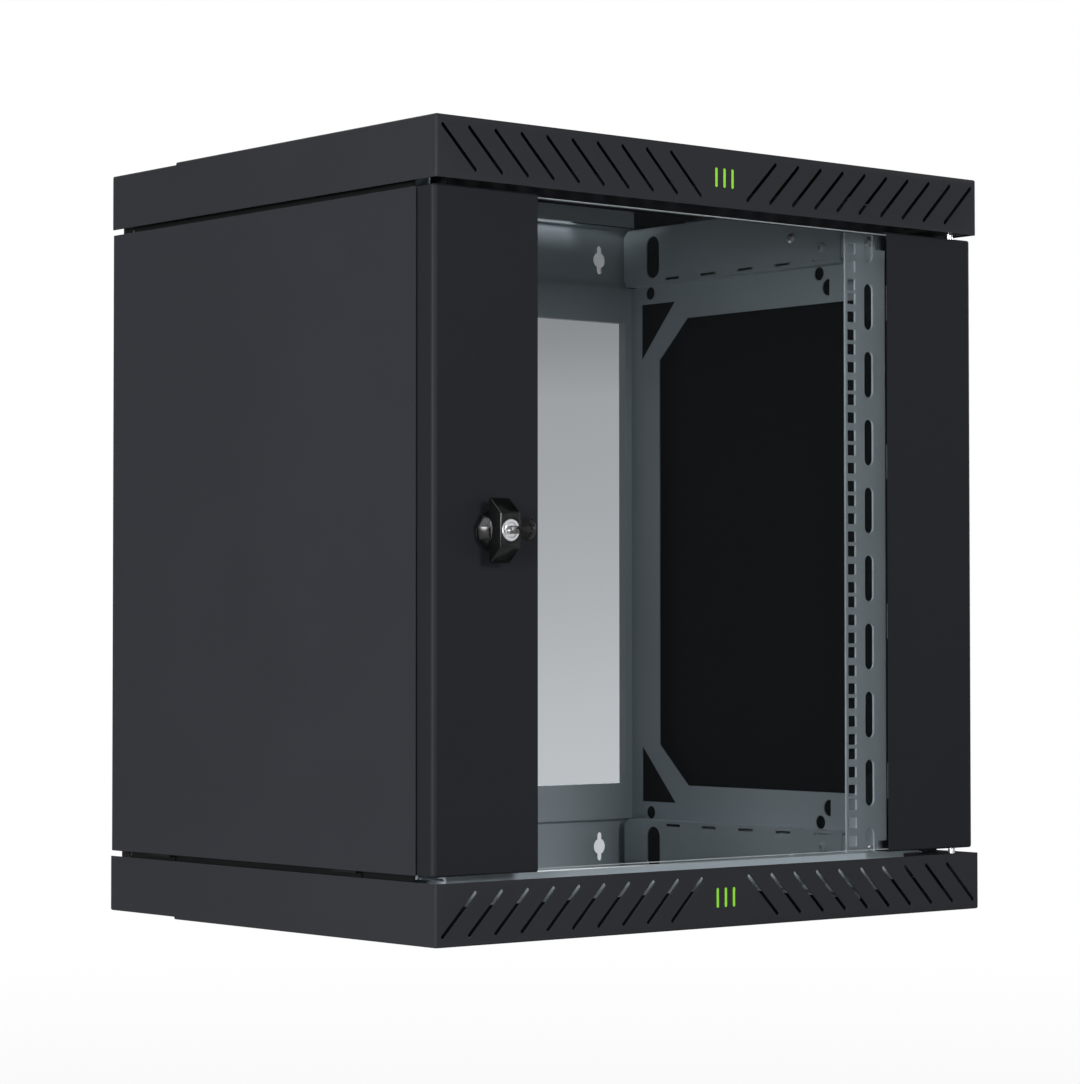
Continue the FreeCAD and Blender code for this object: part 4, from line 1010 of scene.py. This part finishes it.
class CABINET_OT_springs(Cabinet):
    """Wind the springs of the two hinge pins"""

    bl_idname = "cabinet.springs"
    bl_label = "Hinge springs"

    def execute(self, context):
        wire = SPRING_WIRE
        for end, joint, held_high in (("bottom", "bottom_pin_slide", True),
                                      ("top", "top_pin_slide", False)):
            node = end + "_hinge_spring"
            low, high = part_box(node)
            centre = (low + high) / 2
            base = (centre.x, centre.y, low.z + wire)
            start = linked(end + "_pin_spring", bpy.data.meshes.new(end + "_pin_spring"))
            coil = run_recipe(start, recipe("Coil", coil_recipe), Radius=SPRING_RADIUS,
                              Wire=wire, Height=high.z - low.z - 2 * wire,
                              Turns=SPRING_TURNS, Base=base,
                              Finish=finish("spring_steel"))
            coil = settle(coil)
            deliver(coil, node)
            tall = high.z - low.z
            (tall - SPRING_TRAVEL) / tall
            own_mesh(coil)
        return {"FINISHED"}


def to_lock(thing, y):
    """Move a piece drawn about +Z to the lock's axis, facing the user from a height y."""
    matrix = Matrix.Translation((LOCK_X, y, MID_Z)) @ Matrix.Rotation(math.pi / 2, 4, "X")
    thing.data.transform(matrix)


class CABINET_OT_knob(Cabinet):
    """Shape the winged knob with its faceted hub"""

    bl_idname = "cabinet.knob"
    bl_label = "Winged knob"

    def execute(self, context):
        low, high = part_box("wing_knob")
        tall = high.y - low.y
        knob = turned("knob_hub", [mm(*point) for point in HUB_PROFILE], HUB_SIDES, HUB_TURN)
        grip = bmesh.new()
        shoulder = WING_BACK + WING_STEP
        add_prism(grip, [(-WING_HALF, WING_BACK), (WING_HALF, WING_BACK), (WING_HALF, shoulder),
                         (WING_FRONT, tall), (-WING_FRONT, tall), (-WING_HALF, shoulder)],
                  -WING_THICK, WING_THICK)
        wing = from_bmesh("knob_wing", grip)
        wing.data.transform(Matrix(((0, 0, 1, 0), (1, 0, 0, 0), (0, 1, 0, 0), (0, 0, 0, 1))))
        knob = carve(knob, soften(wing, WING_ROUND, 3, 20.0), "UNION")
        knob = carve(knob, turned("bore", [(KNOB_BORE, -MM), (KNOB_BORE, tall * 2)], 48))
        knob = soften(knob, KNOB_ROUND, 2, 20.0)
        knob.name = "knob_body"
        to_lock(knob, high.y)
        deliver(knob, "wing_knob")
        return {"FINISHED"}


class CABINET_OT_lock(Cabinet):
    """Turn the lock's cylinder and plug, and mill the keyway"""

    bl_idname = "cabinet.lock"
    bl_label = "Lock"

    def execute(self, context):
        low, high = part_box("lock_cylinder")
        deep = high.y - low.y
        r, tail, bore = CYLINDER, TAIL, CYLINDER_BORE
        back = deep - (high.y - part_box("lock_cam")[0].y) - 0.3 * MM
        cylinder = turned("lock_cylinder_shell", [
            (tail * 0.9, -deep), (tail, 0.5 * MM - deep), (tail, -back), (r, -back),
            (r, -1.0 * MM), (r * 0.975, -0.45 * MM), (r * 0.92, -0.1 * MM), (r * 0.86, 0.0),
            (6.6 * MM, 0.0), (6.3 * MM, -0.25 * MM)], 56)
        hollow = turned("bore", [(bore, -BORE_DEEP), (bore, MM)], 56)
        self.place_part(carve(cylinder, hollow), "lock_cylinder", low.y)

        low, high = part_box("lock_plug")
        long, r = high.y - low.y, PLUG
        plug = turned("lock_plug_face", [
            (0.95 * r, -long), (r, 0.3 * MM - long), (r, -0.4 * MM), (0.95 * r, -0.1 * MM),
            (0.9 * r, 0.0)], 48)
        keyway = blocks("keyway", [((-KEYWAY_WIDE, -KEYWAY_TALL, -KEYWAY_DEEP),
                                    (KEYWAY_WIDE, KEYWAY_TALL, MM))])
        self.place_part(carve(plug, keyway), "lock_plug", low.y)
        return {"FINISHED"}

    @staticmethod
    def place_part(thing, node, y):
        """Settle a chromed piece, move it to the lock and give it its node's finish and body."""
        thing = settle(thing, 25.0)
        to_lock(thing, y)
        deliver(thing, node)


class CABINET_OT_key(Cabinet):
    """Cut the flat key with its round bow"""

    bl_idname = "cabinet.key"
    bl_label = "Key"

    def execute(self, context):
        low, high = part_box("key")
        radius = (high.z - low.z) / 2
        half = (high.x - low.x) / 2
        tip = high.y - BLADE_SLOPE
        centre_y = low.y + radius
        neck = math.asin(BLADE / radius)
        outline = [(high.y, BLADE_TIP), (tip, BLADE)]
        for i, deep in enumerate(CUT_DEPTHS):
            notch = tip - CUT_FIRST - CUT_PITCH * i
            floor = BLADE - deep
            outline += [(notch, BLADE), (notch - CUT_RAMP, floor), (notch - CUT_WIDE, floor),
                        (notch - CUT_WIDE - CUT_RAMP, BLADE)]
        for i in range(BOW_SIDES + 1):
            angle = neck + (2 * math.pi - 2 * neck) * i / BOW_SIDES
            outline.append((centre_y + radius * math.cos(angle), radius * math.sin(angle)))
        outline += [(tip, -BLADE), (high.y, -BLADE_TIP)]
        shape = bmesh.new()
        add_prism(shape, outline, -half, half)
        blade = from_bmesh("key_body", shape)
        hole = turned("hole", [(BOW_HOLE, -2 * half), (BOW_HOLE, 2 * half)], 28)
        hole.data.transform(Matrix.Translation((centre_y - BOW_HOLE_BACK, 0.0, 0.0)))
        blade = carve(blade, hole)
        start, end = tip - GROOVE_LONG, high.y + MM
        blade = carve(blade, blocks("groove", [
            ((start, -GROOVE_HALF, low_z), (end, GROOVE_HALF, high_z))
            for low_z, high_z in ((0.6 * half, 2 * half), (-2 * half, -0.6 * half))]))
        blade.data.transform(Matrix(((0, 0, 1, LOCK_X), (1, 0, 0, 0), (0, 1, 0, MID_Z),
                                     (0, 0, 0, 1))))
        key = soften(blade, KEY_ROUND, 2, 50.0)
        key.name = "key_blank"
        paint(key, "key_nickel")
        key.data.materials.append(finish("key_head"))
        for face in key.data.polygons:
            if face.center.y < centre_y + radius * 0.92:
                face.material_index = 1
        deliver(key, "key", painted=False)
        return {"FINISHED"}


class CABINET_OT_glass(Cabinet):
    """Cut the door's glass, with a ground edge all round"""

    bl_idname = "cabinet.glass"
    bl_label = "Door glass"

    def execute(self, context):
        low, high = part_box("door_glass")
        shape = bmesh.new()
        add_block(shape, low, high)
        ground = self.sizes.glass_ground
        bmesh.ops.bevel(shape, geom=shape.edges[:], offset=ground, segments=1, affect="EDGES")
        pane = from_bmesh("glass_pane", shape)
        pane.data.materials.append(finish("door_glass"))
        pane.data.materials.append(finish("glass_edge"))
        for face in pane.data.polygons:
            face.material_index = 0 if abs(face.normal.y) > 0.99 else 1
        deliver(pane, "door_glass", painted=False)
        return {"FINISHED"}


# grey that shows behind the glass, by how far up the ray looks, and its cool tint
GLASS_LOW, GLASS_HIGH = -0.10, 0.12
GLASS_STOPS = ((-0.06, 0.76), (-0.037, 0.73), (-0.017, 0.69), (0.0115, 0.605), (0.040, 0.54),
               (0.070, 0.50), (0.087, 0.385), (0.110, 0.30))
GLASS_COOL = (0.955, 1.0, 1.045, 1.0)
# grey of the studio in reflections: everywhere, towards the sides and above
STUDIO_LEVEL, STUDIO_SIDES, STUDIO_ABOVE = 0.03, 0.40, 0.25
# bright patches in reflections: way, narrowness, strength
GLINTS = (((0.64, -0.77, 0.0), 14.0, 0.8), ((-0.68, 0.04, 0.73), 24.0, 4.5))
# share of the floor that glows, near the object and far from it, and over what distance
FLOOR_GLOW, FLOOR_FADE = (0.93, 1.0), (0.9, 3.2)
FLOOR_RADIUS, FLOOR_TONE = 4.0, (0.35, 0.35, 0.35, 1.0)

# name, degrees left of the front, degrees up, distance, width, level
LAMPS = (("front_softbox", 5.0, 14.0, 3.8, 1.2, 0.60),
         ("key_softbox", 55.0, 8.0, 3.6, 1.0, 0.42),
         ("left_softbox", 80.0, 3.0, 3.6, 1.1, 1.00),
         ("low_softbox", 30.0, -6.0, 3.4, 0.8, 0.06),
         ("right_softbox", -90.0, 15.0, 3.6, 1.8, 0.35),
         ("top_softbox", 180.0, 55.0, 3.4, 2.0, 0.35),
         ("rear_softbox", -147.0, 20.0, 3.6, 1.4, 0.30))


def aim(thing, target):
    """Point a lamp's or a camera's -Z at a place."""
    way = Vector(target) - thing.location
    thing.rotation_euler = way.to_track_quat("-Z", "Y").to_euler()


class CABINET_OT_stage(Cabinet):
    """Set up the floor, the soft light and the camera"""

    bl_idname = "cabinet.stage"
    bl_label = "Stage"

    def execute(self, context):
        stage = context.scene.cabinet_stage
        context.scene.view_settings.view_transform = "Standard"
        self.camera(context, stage)
        self.world(context, stage)
        self.floor(stage)
        middle = (0.0, 0.0, MID_Z)
        for name, left, rise, far, wide, level in LAMPS:
            across, up = math.radians(left), math.radians(rise)
            way = Vector((-math.sin(across) * math.cos(up), -math.cos(across) * math.cos(up),
                          math.sin(up)))
            lamp = bpy.data.lights.new(name, "AREA")
            lamp.shape = "DISK"
            lamp.size = wide
            lamp.energy = level * (math.pi * far) ** 2
            thing = bpy.data.objects.new(name, lamp)
            context.scene.collection.objects.link(thing)
            thing.location = Vector(middle) + far * way
            thing.visible_camera = False
            aim(thing, middle)
        return {"FINISHED"}

    def camera(self, context, stage):
        yaw, pitch, roll = stage.camera_turn
        data = bpy.data.cameras.new("camera")
        data.sensor_width = 36.0
        data.lens = stage.lens
        data.clip_start = 0.05
        thing = bpy.data.objects.new("camera", data)
        context.scene.collection.objects.link(thing)
        turn = Euler((math.pi / 2 + pitch, 0.0, -yaw)).to_matrix() @ Matrix.Rotation(
            roll, 3, "Z")
        thing.matrix_world = Matrix.Translation(stage.camera_place) @ turn.to_4x4()
        context.scene.camera = thing

    def world(self, context, stage):
        """White round the object; a softly graded studio in its glass and metal."""
        world = bpy.data.worlds.new("studio")
        context.scene.world = world
        world.use_nodes = True
        world.node_tree.nodes.clear()
        net = Net(world.node_tree)
        path = net.node("ShaderNodeLightPath")
        way = net.node("ShaderNodeTexCoord")["Generated"]
        parts = net.node("ShaderNodeSeparateXYZ", None, {"Vector": way})
        low, high = GLASS_LOW, GLASS_HIGH
        rise = net.node("ShaderNodeMapRange", None, {
            "Value": parts["Z"], "From Min": low, "From Max": high})
        stops = [((z - low) / (high - low), level) for z, level in GLASS_STOPS]
        graded = net.node("ShaderNodeValToRGB", {"stops": stops}, {"Fac": rise})
        through = net.maths("MINIMUM", path["Transparent Depth"], 1.0)
        cool = net.node("ShaderNodeMix", {"data_type": "RGBA", "blend_type": "MULTIPLY"},
                        {0: 1.0, 6: graded, 7: GLASS_COOL})
        seen = net.mix((1.0, 1.0, 1.0), cool, through)
        across = parts["X"] * parts["X"]
        above = net.maths("MAXIMUM", parts["Z"], 0.0)
        level = STUDIO_LEVEL + across * across * STUDIO_SIDES + above * STUDIO_ABOVE
        for facing, narrow, bright in GLINTS:
            dot = net.node("ShaderNodeVectorMath", {"operation": "DOT_PRODUCT"},
                           {0: way, 1: facing})["Value"]
            level = level + net.maths("POWER", net.maths("MAXIMUM", dot, 0.0), narrow) * bright
        glossy = net.node("ShaderNodeCombineColor", None,
                          {"Red": level, "Green": level, "Blue": level * 1.06})
        shown = net.mix(seen, glossy, path["Is Glossy Ray"])
        pale = net.maths("MINIMUM", path["Is Camera Ray"] + path["Is Glossy Ray"]
                         + path["Is Transmission Ray"], 1.0)
        soft = stage.ambient
        tint = net.mix((soft * 0.94, soft * 0.98, soft * 1.05), shown, pale)
        back = net.node("ShaderNodeBackground", None, {"Color": tint})
        net.node("ShaderNodeOutputWorld", None, {"Surface": back})

    def floor(self, stage):
        """Pale round floor; it shows white and keeps the object's shadow."""
        material, net, principled = shader("floor_paint", Roughness=0.9, Specular_IOR_Level=0.1)
        principled.inputs["Base Color"].default_value = FLOOR_TONE
        path = net.node("ShaderNodeLightPath")
        glow = net.node("ShaderNodeEmission", None, {"Color": (1.0, 1.0, 1.0, 1.0)})
        far = net.node("ShaderNodeVectorMath", {"operation": "LENGTH"},
                       {0: net.node("ShaderNodeTexCoord")["Object"]})["Value"]
        edge = net.node("ShaderNodeMapRange", {"interpolation_type": "SMOOTHSTEP"}, {
            "Value": far, "From Min": FLOOR_FADE[0], "From Max": FLOOR_FADE[1],
            "To Min": FLOOR_GLOW[0], "To Max": FLOOR_GLOW[1]})
        pale = net.maths("MINIMUM", path["Is Camera Ray"] + path["Is Glossy Ray"] * 0.3
                         + path["Is Transmission Ray"], edge)
        out = net.tree.nodes["Material Output"]
        mixed = net.node("ShaderNodeMixShader", None, {0: pale, 2: glow})
        net.tree.links.new(principled.outputs[0], mixed.socket.node.inputs[1])
        net.tree.links.new(mixed.socket, out.inputs["Surface"])
        shape = bmesh.new()
        bmesh.ops.create_circle(shape, cap_ends=True, segments=96, radius=FLOOR_RADIUS)
        floor = from_bmesh("floor", shape)
        floor.data.transform(Matrix.Translation((0.0, 0.0, -stage.floor_drop)))
        floor.data.materials.append(material)


class CABINET_PT_panel(bpy.types.Panel):
    """Sidebar panel that lists the cabinet's operators."""

    bl_idname = "CABINET_PT_panel"
    bl_label = "Wall mount network cabinet"
    bl_space_type = "VIEW_3D"
    bl_region_type = "UI"
    bl_category = "Cabinet"

    def draw(self, context):
        for operator in OPERATORS:
            self.layout.operator(operator.bl_idname)
        for group in ("cabinet_finishes", "cabinet_sizes", "cabinet_stage"):
            settings = getattr(context.scene, group)
            column = self.layout.column()
            for name in settings.__annotations__:
                column.prop(settings, name)


OPERATORS = (CABINET_OT_sheet_metal, CABINET_OT_caps, CABINET_OT_accents, CABINET_OT_rails,
             CABINET_OT_fasteners, CABINET_OT_springs, CABINET_OT_knob, CABINET_OT_lock,
             CABINET_OT_key, CABINET_OT_glass, CABINET_OT_stage)
GROUPS = {"cabinet_finishes": CabinetFinishes, "cabinet_sizes": CabinetSizes,
          "cabinet_stage": CabinetStage}


def register():
    for name, group in GROUPS.items():
        bpy.utils.register_class(group)
        setattr(bpy.types.Scene, name, PointerProperty(type=group))
    for made in (*OPERATORS, CABINET_PT_panel):
        bpy.utils.register_class(made)


def unregister():
    for made in (CABINET_PT_panel, *reversed(OPERATORS)):
        bpy.utils.unregister_class(made)
    for name, group in GROUPS.items():
        delattr(bpy.types.Scene, name)
        bpy.utils.unregister_class(group)


def main():
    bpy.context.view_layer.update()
    register()
    for operator in OPERATORS:
        getattr(bpy.ops.cabinet, operator.bl_idname.split(".")[1])()


if __name__ == "__main__":
    main()
